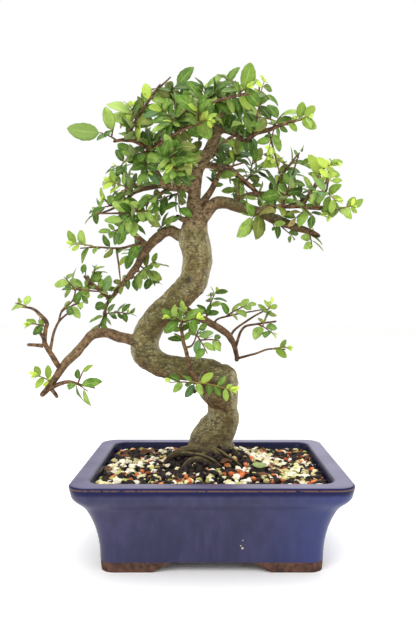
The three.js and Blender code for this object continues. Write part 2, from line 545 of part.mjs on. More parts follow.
// The middle of the branch that is nearest to a drawn point
function nearestOnWood(drawn) {
  const wanted = place(drawn);
  let best = null;
  let bestAway = Infinity;
  for (const branch of BRANCHES) {
    const centres = branch.map(place);
    for (let i = 0; i + 1 < centres.length; i += 1) {
      const run = centres[i + 1].clone().sub(centres[i]);
      const share = THREE.MathUtils.clamp(wanted.clone().sub(centres[i]).dot(run) / run.lengthSq(), 0, 1);
      const point = centres[i].clone().addScaledVector(run, share);
      const away = point.distanceTo(wanted);
      if (away < bestAway) {
        best = point;
        bestAway = away;
      }
    }
  }
  return best;
}

// A shoot's middle line: it leaves level with its aim and lifts a little on the way to its tip
function stemLine(from, tip) {
  const lift = STEM_LIFT * from.distanceTo(tip);
  const middle = from.clone().lerp(tip, 0.5).add(new THREE.Vector3(0, 0, lift));
  return {
    at: (t) => from.clone().multiplyScalar((1 - t) ** 2)
      .addScaledVector(middle, 2 * t * (1 - t)).addScaledVector(tip, t ** 2),
    way: (t) => middle.clone().sub(from).multiplyScalar(1 - t)
      .addScaledVector(tip.clone().sub(middle), t).normalize(),
  };
}

function stemSolid(line) {
  const shares = Array.from({ length: STEM_STEPS + 1 }, (_, i) => i / STEM_STEPS);
  const diameters = shares.map((t) => THREE.MathUtils.lerp(STEM_DIAMETER.base, STEM_DIAMETER.tip, t));
  return limb(shares.map(line.at), diameters, STEM_SIDES);
}

// The ways that one leaf may lie on its shoot: alternate sides, its face up, out and to the front
function leafChoices(line, share, rootedAt, turn, length, random) {
  const varied = length * (LEAF_LENGTH.least + LEAF_LENGTH.more * random());
  const size = varied * (LEAF_LENGTH.atFoot - LEAF_LENGTH.lessAtTip * share);
  const width = size * (LEAF_WIDTH.least + LEAF_WIDTH.more * random());
  const base = line.at(rootedAt);
  const way = line.way(share);
  const outward = new THREE.Vector3(base.x, base.y, 0).normalize();
  const choices = [];
  for (let attempt = 0; attempt < TRIES; attempt += 1) {
    const scatter = new THREE.Vector3(random() - 0.5, random() - 0.5, random() - 0.5);
    const face = FACES_LIGHT.clone()
      .addScaledVector(outward, FACES_OUT)
      .addScaledVector(scatter, FACE_SCATTER);
    const side = attempt % 3 === 2 ? -turn : turn;
    const chance = random();
    const degrees = share < 1
      ? LEAF_SPREAD.least + LEAF_SPREAD.more * chance
      : LEAF_SPREAD.mostAtTip * chance;
    const spread = THREE.MathUtils.degToRad(degrees);
    const across = new THREE.Vector3().crossVectors(way, face).normalize().multiplyScalar(side);
    const along = way.clone()
      .multiplyScalar(Math.cos(spread))
      .addScaledVector(across, Math.sin(spread))
      .normalize();
    face.addScaledVector(along, -face.dot(along)).normalize();
    choices.push({ base, along, face, length: size, width });
  }
  return choices;
}

// A toothed, arched blade on a pointed foot, from the share of its length called start
function blade(leaf, grown = 0, start = 0) {
  const across = new THREE.Vector3().crossVectors(leaf.along, leaf.face);
  const { teeth, rib: bends } = LEAF_KINDS.find(({ upTo }) => leaf.length <= upTo);
  const points = [];
  const at = (t, half, up) => points.push(leaf.base.clone()
    .addScaledVector(leaf.along, leaf.length * t + (t === 1 ? grown : 0))
    .addScaledVector(across, half)
    .addScaledVector(leaf.face, up - BLADE_ARCH * leaf.length * t * t)) - 1;
  const foot = at(start, 0, 0);
  const tip = at(1, 0, 0);
  const chain = (shares, spot) => [foot, ...shares.map(spot), tip];
  const edge = (side) => chain(teeth, ([t, wide]) => at(t, side * ((wide * leaf.width) / 2 + grown), 0));
  const rib = (side) => chain(bends, (t) => at(t, 0, side * (RIB_THICKNESS / 2 + grown)));
  const edgeShares = [start, ...teeth.map(([t]) => t), 1];
  const ribShares = [start, ...bends, 1];
  const triangles = [];
  const strip = (outer, inner, turned) => {
    let i = 0;
    let j = 0;
    while (i + 1 < outer.length || j + 1 < inner.length) {
      const ribDone = j + 1 === inner.length;
      const onEdge = i + 1 < outer.length && (ribDone || edgeShares[i + 1] <= ribShares[j + 1]);
      const next = onEdge ? outer[i + 1] : inner[j + 1];
      if (new Set([outer[i], inner[j], next]).size === 3) {
        triangles.push(turned ? [outer[i], inner[j], next] : [inner[j], outer[i], next]);
      }
      i += onEdge ? 1 : 0;
      j += onEdge ? 0 : 1;
    }
  };
  const [left, right, above, below] = [edge(-1), edge(1), rib(1), rib(-1)];
  strip(left, above, true);
  strip(right, above, false);
  strip(left, below, false);
  strip(right, below, true);
  return solid(points, triangles);
}

function crosses(body, obstacles) {
  const own = body.boundingBox();
  return obstacles.some(({ box: other, solid: obstacle }) => {
    for (let axis = 0; axis < 3; axis += 1) {
      if (own.min[axis] > other.max[axis] || own.max[axis] < other.min[axis]) {
        return false;
      }
    }
    return body.intersect(obstacle).volume() > NO_OVERLAP;
  });
}

// A solid that new blades keep clear of, with its box and the number of its spray
function obstacle(body, owner) {
  return { solid: body, box: body.boundingBox(), owner };
}

// All sprays: the shoots first, then leaf by leaf, each turned until it clears the wood and the other leaves
function makeSprays(wood, woodGrown, others) {
  const lines = SPRAYS.map(({ base, shoots }) => {
    const first = stemLine(nearestOnWood(base), place(shoots[0].tip));
    return shoots.map(({ tip }, i) => (i ? stemLine(first.at(FORKS_AT), place(tip)) : first));
  });
  const stems = lines.map((shoots) => shoots.map(stemSolid));
  const obstacles = others.map((body) => obstacle(body, -1));
  obstacles.push(obstacle(wood, -1));
  stems.forEach((bodies, owner) => bodies.forEach((body) => obstacles.push(obstacle(body, owner))));
  return SPRAYS.map(({ shoots }, index) => {
    const random = seeded(1000 + index);
    const blades = [];
    shoots.forEach((shootRule, which) => {
      const line = lines[index][which];
      for (let i = 0; i < shootRule.leaves; i += 1) {
        const share = 1 - ((1 - FIRST_LEAF_AT) * i) / Math.max(shootRule.leaves - 1, 1);
        const rootedAt = shootRule.leaves <= LONE_LEAVES ? Math.min(share, LONE_LEAF_AT) : share;
        const choices = leafChoices(line, share, rootedAt, i % 2 ? 1 : -1, shootRule.length, random);
        const fits = choices.find((leaf) => {
          const grown = blade(leaf, GAP, CLEAR_FROM);
          return !crosses(grown, obstacles.filter(({ owner }) => owner !== index))
            && !crosses(grown, blades.map((body) => obstacle(body, index)));
        });
        if (fits) {
          blades.push(blade(fits));
        }
      }
    });
    blades.forEach((body) => obstacles.push(obstacle(body, index)));
    const whole = wasm.Manifold.union([...stems[index], ...blades]);
    return settled(largest(whole.subtract(woodGrown)));
  });
}

// A leaf that has dropped, raised over the grains until it just clears them
function makeFallenLeaf(ground) {
  const { x, y, along, length, width, step } = FALLEN_LEAF;
  const leaf = {
    base: new THREE.Vector3(x, y, soilHeight(x, y)),
    along: new THREE.Vector3(...along).normalize(),
    face: new THREE.Vector3(0, 0, 1),
    length,
    width,
  };
  while (ground.some((body) => blade(leaf, GAP).intersect(body).volume() > 0)) {
    leaf.base.z += step;
  }
  return blade(leaf);
}

function geometryOf(body) {
  const { vertProperties, triVerts } = body.getMesh();
  const geometry = new THREE.BufferGeometry();
  geometry.setAttribute("position", new THREE.BufferAttribute(vertProperties, 3));
  geometry.setIndex(new THREE.BufferAttribute(triVerts, 1));
  return geometry;
}

// A body with the points that all but meet made one
function welded(body) {
  const merged = mergeVertices(geometryOf(body), SAME_POINT);
  const mesh = new wasm.Mesh({
    numProp: 3,
    vertProperties: merged.getAttribute("position").array,
    triVerts: new Uint32Array(merged.index.array),
  });
  return new wasm.Manifold(mesh);
}

// Whether two folds of a body's skin meet along an edge
function pinched(body) {
  const { index } = mergeVertices(geometryOf(body), SAME_POINT);
  const edges = new Set();
  for (let i = 0; i < index.count; i += 1) {
    const next = i % 3 === 2 ? i - 2 : i + 1;
    edges.add(index.getX(i) + "," + index.getX(next));
  }
  return edges.size < index.count;
}

// A cut body without the slivers of its cuts, unless it pinches without them
function settled(body) {
  const whole = welded(body);
  const slim = welded(whole.simplify(SLIVER));
  return largest(pinched(slim) ? whole : slim);
}

function mesh(name, body, material) {
  const made = new THREE.Mesh(geometryOf(body), material());
  made.name = name;
  return made;
}

function finish(color, roughness) {
  return () => new THREE.MeshStandardMaterial({ color, roughness, metalness: 0 });
}

const GLAZE = finish(0x3f4070, 0.2);
const BARK = finish(0x6f6444, 0.85);
const FOLIAGE = finish(0x4f8a2e, 0.5);
const EARTH = finish(0x3a2f28, 0.95);
const NET = finish(0x23262a, 0.6);

function joined(limbs, grown) {
  return wasm.Manifold.union(limbs.map((points) => drawnLimb(points, grown)));
}

const limbs = [TRUNK_FOOT, TRUNK_RISE, ...ROOTS, ...BRANCHES];
const wood = settled(joined(limbs, 0));
const woodGrown = joined(limbs, GAP);
const pot = makePot();
const soil = makeSoil(joined([TRUNK_FOOT, ...ROOTS], GAP));

const group = new THREE.Group();
group.position.set(-FOOTPRINT_MIDDLE.x, -FOOTPRINT_MIDDLE.y, 0);
group.add(mesh("pot", pot, GLAZE));
group.add(mesh("soil", soil, EARTH));
group.add(mesh("tree", wood, BARK));
makeSprays(wood, woodGrown, [soil, pot]).forEach((body, i) => {
  group.add(mesh("spray_" + String(i + 1).padStart(2, "0"), body, FOLIAGE));
});
group.add(mesh("fallen_leaf", makeFallenLeaf([soil, wood]), FOLIAGE));
[-DRAIN_HOLE.x, DRAIN_HOLE.x].forEach((x, i) => {
  group.add(mesh("drain_net_" + (i + 1), makeNet(x), NET));
});

export default group;
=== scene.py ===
"""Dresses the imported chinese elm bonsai: glazed pot, gravelly soil, barky tree, leafy sprays and nets.

Every size is in millimetres from the middle of the pot's foot, as in the part's own source, and is
turned into metres in the row frame when a mesh is made.
"""
import logging
import math
from dataclasses import dataclass, field
from enum import Enum
from typing import Any, Callable, Iterable, Mapping, Sequence

import bmesh
import bpy
import numpy as np
from bpy.types import Material, Object
from mathutils import Matrix, Vector, kdtree, noise
from numpy.random import Generator, default_rng


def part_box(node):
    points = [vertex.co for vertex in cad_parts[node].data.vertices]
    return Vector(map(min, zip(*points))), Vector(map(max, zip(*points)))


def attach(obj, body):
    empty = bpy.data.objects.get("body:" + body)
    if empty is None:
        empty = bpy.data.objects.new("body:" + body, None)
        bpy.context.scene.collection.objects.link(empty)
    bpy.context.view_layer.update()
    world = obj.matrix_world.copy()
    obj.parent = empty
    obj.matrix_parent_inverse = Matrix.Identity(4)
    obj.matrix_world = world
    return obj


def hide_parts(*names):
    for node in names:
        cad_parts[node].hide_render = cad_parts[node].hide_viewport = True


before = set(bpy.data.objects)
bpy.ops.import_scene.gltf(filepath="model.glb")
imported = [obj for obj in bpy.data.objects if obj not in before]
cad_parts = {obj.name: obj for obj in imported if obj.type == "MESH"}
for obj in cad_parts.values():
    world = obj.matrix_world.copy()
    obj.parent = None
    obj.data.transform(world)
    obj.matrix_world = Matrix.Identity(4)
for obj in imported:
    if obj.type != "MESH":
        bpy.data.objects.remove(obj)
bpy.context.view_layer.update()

log = logging.getLogger("bonsai")

# A millimetre in metres, the pot's middle in the row frame, and the viewer's eye from that middle
MM = 0.001
POT_MIDDLE = np.array([24.7, -3.9, 0.0])
EYE = np.array([-3.4, -609.5, 235.0])

# A place as drawn in the front view, [x, z, depth], with its diameter where it is on a limb
Drawn = Sequence[float]
Limb = Sequence[Drawn]
# Rows of measures, the two ends of a stretch, and a colour as the light that it sends
Rows = tuple[tuple[float, ...], ...]
Span = tuple[float, float]
Colour = tuple[float, float, float]
# What gives the next random number from 0 to 1
Draw = Callable[[], float]


@dataclass(frozen=True)
class Shoot:
    """One shoot: its tip as drawn, its number of leaves and its leaf length."""

    tip: Drawn
    leaves: int
    length: float


@dataclass(frozen=True)
class Spray:
    """Where shoots leave a branch together, as drawn, and the shoots; the first carries the others."""

    base: Drawn
    shoots: list[Shoot]


# Limbs as drawn in the front view, each point as [x, z, depth, diameter]
TRUNK_FOOT: Limb = [
    [0, 68, 8, 44], [0, 90, 8, 50], [0.5, 102, 8, 45], [3, 109, 8, 40], [8, 117, 7, 37], [11.3, 125, 5, 33],
    [11.5, 134, 3, 30], [11.5, 141, 1, 30], [10, 147, -2, 35], [7.5, 154, -4, 40], [7, 163, -4, 40],
    [8, 172, -3, 34], [8.5, 178, -2, 20],
]
TRUNK_RISE: Limb = [
    [9, 171, 2, 20], [0, 171.5, 3, 24], [-11, 173, 3, 25], [-19.5, 174, 3, 25], [-39, 175, 3, 24],
    [-56, 180.5, 6, 26], [-66.5, 192.5, 8, 29.5], [-65, 207, 8, 28], [-56, 223, 7, 26.5],
    [-37, 241.5, 5, 27.5], [-20.5, 258.5, 3, 29], [-15, 275, 1, 29.5], [-14, 286.5, 0, 30],
    [-16.5, 300, 0, 31], [-17.5, 311, 1, 28], [-15.5, 324.5, 3, 23], [-17, 338, 5, 17],
    [-17, 347.5, 6, 13], [-14, 370.5, 7, 11.5], [-9.5, 380, 8, 12], [0, 397, 6, 12.5],
    [5, 411, 3, 11], [6, 416.5, 2, 9],
]

# Roots at the soil's surface, from the trunk's foot outwards
ROOTS: list[Limb] = [
    [[-51, 74, -6, 6.5], [-40, 85, -13, 8], [-29.5, 91, -16, 8.5], [-12, 94, -17, 8.5],
     [-1.5, 91.5, -20, 8.5], [9, 88, -21, 8], [24, 78, -19, 6.5]],
    [[-31, 70, -34, 6], [-21.5, 80.5, -33, 7], [-13, 82.5, -33, 7.5], [-5, 80, -34, 7], [5, 72, -36, 6]],
    [[-4, 94, -4, 12], [-7, 88, -20, 8], [-10, 80, -33, 6]],
    [[8, 94, 4, 16], [28, 85, -3, 9], [44, 75, -9, 6], [56, 68, -14, 4]],
    [[-8, 94, 6, 16], [-30, 85, 8, 9], [-47, 76, 6, 6], [-60, 69, 2, 4]],
    [[4, 94, 16, 14], [8, 86, 38, 9], [14, 78, 54, 6], [18, 72, 66, 4]],
]

# Branches on the left: the low one with its forks, then the middle one that droops
LOW_LEFT: list[Limb] = [
    [[-66, 200, 6, 13], [-79, 202.5, -2, 11.5], [-92.5, 206, -8, 10.5], [-107.5, 210, -14, 10],
     [-119, 208, -18, 9.5], [-128.5, 198.5, -22, 9], [-138.5, 187, -26, 9], [-148, 177.5, -29, 8.5],
     [-155.5, 166, -32, 7.5], [-163, 156.5, -34, 7], [-170, 148, -36, 6]],
    [[-163, 156, -34, 5.5], [-155.5, 146, -33, 4.5]],
    [[-151, 173, -30, 6.5], [-161, 189, -33, 6], [-168, 200.5, -35, 5.5], [-166.5, 213, -36, 5],
     [-165.5, 220, -36, 4.8], [-172.5, 229, -35, 4.5], [-180, 234.5, -34, 3.5], [-190, 236, -33, 2.5]],
    [[-162, 192, -33, 4], [-158.5, 209.5, -29, 3.6], [-154, 220, -25, 3.3], [-147, 227.5, -21, 3],
     [-139.5, 232, -18, 2.5]],
    [[-154, 220, -25, 3], [-150, 232.5, -24, 2.8], [-139.5, 242.5, -22, 2.5], [-136, 254, -20, 2.2]],
    [[-169, 197, -35, 5], [-184, 198, -38, 4]],
    [[-168, 204, -36, 5], [-173, 212, -40, 4]],
    [[-163, 154, -35, 6], [-153, 158.5, -38, 5], [-143, 161, -41, 4.2], [-130.5, 157.5, -43, 3],
     [-117, 154.5, -44, 2.2]],
]
MIDDLE_LEFT: list[Limb] = [
    [[-20, 304, 1, 14], [-31, 307.5, 6, 12], [-42.5, 313, 10, 11], [-54, 305.5, 14, 10.5],
     [-63.5, 296, 17, 9.5], [-69.5, 286.5, 20, 8.5], [-79, 271, 23, 7.5], [-88.5, 259.5, 26, 6.5],
     [-98, 248, 28, 5.5], [-105, 238.5, 29, 4.5], [-107.5, 227, 30, 3.5], [-113.5, 214, 31, 3]],
    [[-63.5, 296, 17, 8], [-76, 308, 10, 6.5], [-84, 319, 4, 5]],
    [[-70, 300, 13, 4], [-92, 295, 10, 3.2], [-115, 296, 6, 2.6], [-131.5, 295, 4, 2]],
    [[-101, 244, 28, 5], [-111.5, 252, 24, 5], [-127, 266.5, 20, 4.5]],
    [[-60, 300, 16, 5], [-66, 298, 36, 4.4], [-74, 292, 54, 3.4]],
]

# Branches on the right: the low one behind the trunk, the front shoot, then the thick upper limb
LOW_RIGHT: list[Limb] = [
    [[-36, 240, 8, 10], [-20, 229, 15, 9], [-4.5, 221.5, 18, 8.5], [9, 214, 22, 8], [18.5, 206, 24, 7.5],
     [23.5, 196.5, 25, 6.5], [25.5, 183, 26, 5.5]],
    [[25.5, 184, 26, 4], [43.5, 189, 23, 3.3], [57, 193.5, 20, 2.8], [74, 193.5, 17, 2.2]],
    [[24, 194, 25, 4], [31, 214, 20, 3.6], [43.5, 218.5, 16, 3.3], [64.5, 221.5, 12, 3]],
    [[19, 206, 24, 4], [24.5, 214, 28, 3.4], [43.5, 227, 32, 3], [59, 235, 35, 2.4]],
    [[2, 218, 20, 3.6], [9, 225, 16, 3], [43, 232, 9, 2.5], [52, 233, 7, 2]],
    [[-5, 221.5, 18, 3.6], [-4.5, 229, 21, 3], [-0.5, 240.5, 23, 2.5], [-0.5, 250, 24, 2]],
]
FRONT_SHOOT: list[Limb] = [
    [[-1, 157, -13, 6.5], [-12, 158, -22, 6], [-16, 164, -24, 5.5], [-21.5, 175.5, -23, 5],
     [-26.5, 194.5, -20, 5], [-30, 212, -17, 4.5], [-31, 218, -16, 4]],
    [[-27, 195, -20, 3.4], [-19, 198, -24, 2.8], [-13, 213, -27, 2.2]],
    [[-11, 157.5, -22, 5], [-17, 150, -27, 3.6]],
]
UPPER_RIGHT: list[Limb] = [
    [[-12, 322, 1, 15], [-5.5, 330.5, -2, 13.5], [4, 340, -5, 12.5], [17.5, 340, -8, 12],
     [32.5, 335, -12, 11], [50, 330.5, -15, 10.5], [65, 323.5, -18, 10], [82.5, 317, -20, 8.5],
     [99.5, 311, -22, 6.5], [107.5, 307.5, -23, 5]],
    [[47, 331, -15, 7], [56, 336, -22, 5.8], [77.5, 337, -30, 5], [87.5, 336.5, -33, 4.5],
     [102, 335, -36, 4], [126.5, 333.5, -40, 3], [135.5, 335, -42, 2.4]],
    [[77, 337, -30, 4.6], [90.5, 342.5, -26, 4.2], [102.5, 354, -20, 3.8], [115.5, 370, -14, 3]],
    [[102, 353.5, -20, 3.8], [106, 364, -28, 3.2], [114, 378, -35, 2.4]],
    [[102, 335, -36, 3.8], [110, 346.5, -44, 3.2], [115.5, 353.5, -48, 3], [116.5, 365.5, -50, 2.4]],
    [[20, 339, -8, 7], [34, 348, 10, 5.8], [56, 350, 30, 5], [72, 348, 44, 4]],
]

# Branches of the crown
CROWN_LEFT: list[Limb] = [
    [[-17, 357, 6, 10], [-32.5, 356, -2, 9.5], [-47.5, 359, -10, 9], [-55.5, 370.5, -16, 8],
     [-57.5, 384, -20, 7.5], [-61, 393.5, -24, 7], [-70.5, 399.5, -28, 6], [-82, 404, -32, 5],
     [-97.5, 402, -36, 3.5]],
    [[-46, 359, -9, 7], [-65, 355, -3, 6], [-78.5, 350.5, 3, 5.5], [-88, 340, 8, 4.5],
     [-101, 334, 12, 3.5], [-114, 329, 15, 2.6]],
    [[-38, 357, -5, 5.4], [-51.5, 349.5, -12, 4.6], [-62, 342.5, -18, 4], [-74.5, 333.5, -24, 3.4],
     [-84, 330, -27, 2.6]],
    [[-82, 404, -32, 5], [-78, 419, -36, 4.2], [-52.5, 457.5, -45, 3]],
    [[-59, 391, -22, 5], [-57, 397.5, -28, 4.4], [-40, 408, -40, 3.8], [-25, 416.5, -50, 3.2],
     [-10, 420, -56, 2.4]],
    [[-70, 354, -1, 4.6], [-80, 362, 12, 4.2], [-92, 372, 32, 3.4]],
    [[-32, 356, -2, 6.5], [-34, 364, -30, 5.4], [-40, 374, -50, 4.4], [-46, 382, -62, 3.4]],
]
CROWN_TOP: list[Limb] = [
    [[-16, 350, 6, 9], [-17.5, 364, 12, 8.5], [-17.5, 379, 14, 6.5]],
    [[-12, 337, 4, 9], [-3, 349, 0, 7.5], [4, 362, -3, 6.5], [9, 372, -5, 5]],
    [[-18, 320, 2, 9], [-26, 323, -4, 7], [-34, 327, -8, 5]],
    [[-10, 379, 8, 8.5], [2, 377.5, 14, 7.5], [15.5, 376.5, 20, 7], [27, 367, 25, 6.5],
     [40.5, 356, 29, 5.8], [52, 345.5, 32, 5], [62, 352, 30, 4.5], [69, 365.5, 28, 4],
     [77.5, 377, 26, 3.4], [86, 388, 24, 2.6]],
    [[4, 408, 3, 8], [12, 413, -4, 6.8], [25, 409, -12, 6], [34.5, 403, -18, 6], [44, 410, -24, 5.5],
     [59.5, 414.5, -30, 5], [76.5, 420.5, -36, 4], [90, 424, -39, 3]],
    [[4, 412, 2, 7], [-10, 424, -14, 6], [-17, 430, -22, 5.4], [-2, 439.5, -34, 4.4],
     [21, 447, -44, 3.4], [34, 450, -49, 2.4]],
    [[3, 411, 3, 7], [12, 430, 12, 5.4], [20, 450, 18, 4], [24, 462, 21, 2.8]],
    [[44, 410, -24, 4.6], [48, 423, -14, 3.8], [48, 436, -4, 3.4], [48, 458, 3, 2.4]],
    [[3, 411, 3, 7], [-16, 416, 18, 6], [-30, 424, 29, 5], [-36, 440, 34, 4], [-40, 458, 37, 3]],
    [[-17.5, 362, 12, 8], [-30, 368, 36, 6.8], [-44, 380, 58, 5.6], [-54, 392, 74, 4]],
    [[-10, 380, 9, 8], [4, 392, 36, 6.6], [14, 402, 58, 5.2], [24, 408, 74, 4]],
]
BRANCHES = [*LOW_LEFT, *MIDDLE_LEFT, *LOW_RIGHT, *FRONT_SHOOT, *UPPER_RIGHT, *CROWN_LEFT, *CROWN_TOP]

# Sprays: where each leaves its branch, then each shoot's tip, number of leaves and leaf length
DRAWN_SPRAYS: list[tuple[Drawn, ...]] = [
    # On the crown's left
    ([-94, 403, -35], [-112, 411, -42, 1, 26], [-98, 416, -50, 4, 15]),
    ([-80, 411, -33], [-78, 438, -30, 5, 19], [-84, 430, -24, 4, 15]),
    ([-61, 392, -24], [-82, 386, -31, 4, 16], [-64, 370, -36, 3, 15], [-48, 398, -30, 5, 14]),
    ([-46, 381, -60], [-33, 398, -68, 4, 15], [-34, 366, -72, 3, 14], [-22, 380, -66, 5, 14]),
    ([-90, 370, 29], [-97, 378, 48, 4, 14], [-100, 364, 14, 4, 16], [-84, 386, 36, 4, 14]),
    ([-76, 351, 2], [-104, 362, -6, 4, 14], [-88, 342, -14, 4, 14]),
    ([-92, 338, 9], [-120, 332, 18, 4, 14], [-92, 350, 20, 3, 13], [-108, 344, 0, 3, 13]),
    ([-70, 337, -22], [-92, 318, -34, 5, 15], [-58, 330, -26, 3, 15], [-78, 312, -14, 4, 14]),
    ([-34, 356, -3], [-32, 334, -12, 4, 15], [-54, 342, -4, 4, 14]),
    ([-30, 413, -46], [-50, 434, -44, 4, 18], [-40, 420, -62, 3, 15], [-24, 432, -56, 4, 15]),
    ([-18, 418, -53], [-3, 424, -68, 4, 13], [-14, 440, -64, 4, 17]),
    # On the crown's top
    ([-38, 450, 36], [-55, 456, 28, 4, 17], [-25, 458, 30, 4, 20], [-36, 438, 52, 5, 16]),
    ([-8, 436, -30], [-6, 458, -26, 5, 19], [10, 446, -38, 4, 16]),
    ([16, 441, 15], [13, 463, 12, 4, 20], [30, 436, 30, 4, 17], [2, 438, 26, 5, 16]),
    ([26, 448, -46], [37, 456, -54, 4, 19], [20, 462, -40, 3, 15]),
    ([48, 444, 0], [53, 462, 6, 3, 11], [58, 444, -8, 4, 15], [34, 440, 10, 5, 16]),
    ([84, 422, -38], [98, 427, -46, 5, 13]),
    ([61, 414.5, -31], [73, 431, -24, 4, 14], [58, 396, -36, 4, 13], [46, 426, -40, 4, 14]),
    ([-52, 390, 72], [-66, 408, 90, 4, 16], [-44, 410, 74, 4, 16], [-36, 384, 86, 5, 14]),
    ([22, 407, 72], [38, 420, 88, 4, 16], [16, 424, 76, 4, 16], [32, 396, 90, 5, 14]),
    ([-17.5, 377, 14], [-28, 400, 26, 5, 16], [-42, 384, 30, 5, 15]),
    # On the right
    ([20, 373, 22], [28, 394, 14, 5, 15], [8, 384, 34, 4, 15]),
    ([34, 361, 27], [48, 374, 38, 4, 16], [20, 348, 38, 4, 13], [42, 386, 22, 4, 14]),
    ([72, 369, 27], [88, 386, 34, 4, 14], [59, 386, 14, 4, 12], [84, 366, 46, 4, 13]),
    ([70, 337, -28], [82, 364, -36, 5, 15], [60, 354, -18, 4, 14], [92, 348, -22, 5, 13]),
    ([106, 358, -18], [118, 372, -6, 5, 13], [100, 384, -8, 4, 12]),
    ([112, 374, -33], [124, 380, -42, 4, 11]),
    ([114, 352, -47], [125, 342, -56, 5, 12], [102, 352, -64, 4, 12]),
    ([128, 334, -40], [142, 337, -48, 4, 13], [118, 329, -46, 4, 11]),
    ([90, 336, -33], [104, 325, -44, 5, 15], [82, 322, -26, 4, 13]),
    ([98, 311, -22], [101, 297, -30, 5, 12]),
    ([50, 330, -16], [41, 325, -25, 2, 22]),
    ([56, 327, -16], [64, 315, -26, 3, 12], [84, 304, -12, 4, 12]),
    ([70, 348, 42], [88, 356, 58, 4, 15], [72, 366, 52, 3, 14], [60, 338, 60, 4, 13]),
    # On the drooping branch
    ([-82, 317, 5], [-104, 309, -4, 5, 12], [-88, 332, 18, 4, 12]),
    ([-48, 310, 12], [-56, 325, 14, 4, 12], [-42, 322, 0, 3, 12]),
    ([-116, 296, 6], [-139, 299, 0, 5, 13]),
    ([-74, 280, 22], [-57, 260, 36, 4, 13], [-55, 281, 15, 4, 16], [-78, 264, 36, 3, 13]),
    ([-113, 253.5, 24], [-147, 254, 14, 5, 14], [-116, 274, 34, 4, 12], [-134, 240, 34, 3, 13]),
    ([-107, 229, 30], [-82, 229, 22, 4, 11]),
    ([-72, 293, 50], [-84, 286, 66, 4, 14], [-62, 302, 66, 4, 13]),
    # On the low left branch
    ([-184, 235, -34], [-197, 240, -28, 4, 10]),
    ([-166, 216, -36], [-181, 219, -46, 3, 10]),
    ([-150, 232, -24], [-129, 240, -32, 5, 11]),
    ([-137, 252, -20], [-148, 266, -12, 4, 13]),
    ([-140, 160.5, -41], [-124, 151, -50, 4, 15], [-127, 175, -38, 3, 12]),
    ([-160, 160, -34], [-176, 167, -44, 4, 10]),
    # On the front shoot and the low right branch
    ([-30, 214, -16], [-26, 232, -22, 5, 15], [-42, 226, -22, 3, 12], [-14, 224, -26, 3, 12]),
    ([-15, 208, -26], [-4, 189, -34, 4, 12], [8, 202, -20, 3, 11]),
    ([-12, 157.5, -22], [-42, 160, -30, 3, 13], [22, 151, -36, 5, 12]),
    ([60, 193.5, 19], [77, 195, 12, 4, 10]),
    ([46, 219, 15], [62, 209, 4, 4, 13], [60, 240, 18, 4, 11]),
    ([14, 226, 15], [38, 238, 2, 5, 13]),
    ([-2, 236, 22], [5, 252, 30, 5, 12]),
]
SPRAYS = [Spray(base, [Shoot(row[:3], *row[3:]) for row in shoots]) for base, *shoots in DRAWN_SPRAYS]


class Signal:
    """A socket of a material whose arithmetic adds Math nodes."""

    def __init__(self, bench: "Bench", socket: bpy.types.NodeSocket) -> None:
        """Keeps the socket and the bench that it was made on."""
        self.bench = bench
        self.socket = socket

    def __add__(self, other: "Signal | float") -> "Signal":
        """The sum of both."""
        return self.bench.maths("ADD", self, other)

    __radd__ = __add__

    def __sub__(self, other: "Signal | float") -> "Signal":
        """This less the other."""
        return self.bench.maths("SUBTRACT", self, other)

    def __rsub__(self, other: float) -> "Signal":
        """The other less this."""
        return self.bench.maths("SUBTRACT", other, self)

    def __mul__(self, other: "Signal | float") -> "Signal":
        """The product of both."""
        return self.bench.maths("MULTIPLY", self, other)

    __rmul__ = __mul__

    def __neg__(self) -> "Signal":
        """This with its sign turned."""
        return self.bench.maths("MULTIPLY", self, -1.0)

    def abs(self) -> "Signal":
        """This without its sign."""
        return self.bench.maths("ABSOLUTE", self)

    def fraction(self) -> "Signal":
        """What is left of this over the whole number below it."""
        return self.bench.maths("FRACT", self)

    def most(self, other: "Signal | float") -> "Signal":
        """The greater of both."""
        return self.bench.maths("MAXIMUM", self, other)

    def rise(self, low: float, high: float) -> "Signal":
        """A smooth climb from 0 where this is low to 1 where it is high.

        Args:
            low: The value at which the climb starts.
            high: The value at which it ends; below low, the climb is a fall.

        Returns:
            The climb, from 0 to 1.
        """
        settings = {"interpolation_type": "SMOOTHSTEP"}
        if low < high:
            inputs = {0: self, 1: low, 2: high, 3: 0.0, 4: 1.0}
        else:
            inputs = {0: self, 1: high, 2: low, 3: 1.0, 4: 0.0}
        return Signal(self.bench, self.bench.node("ShaderNodeMapRange", settings, inputs).outputs[0])


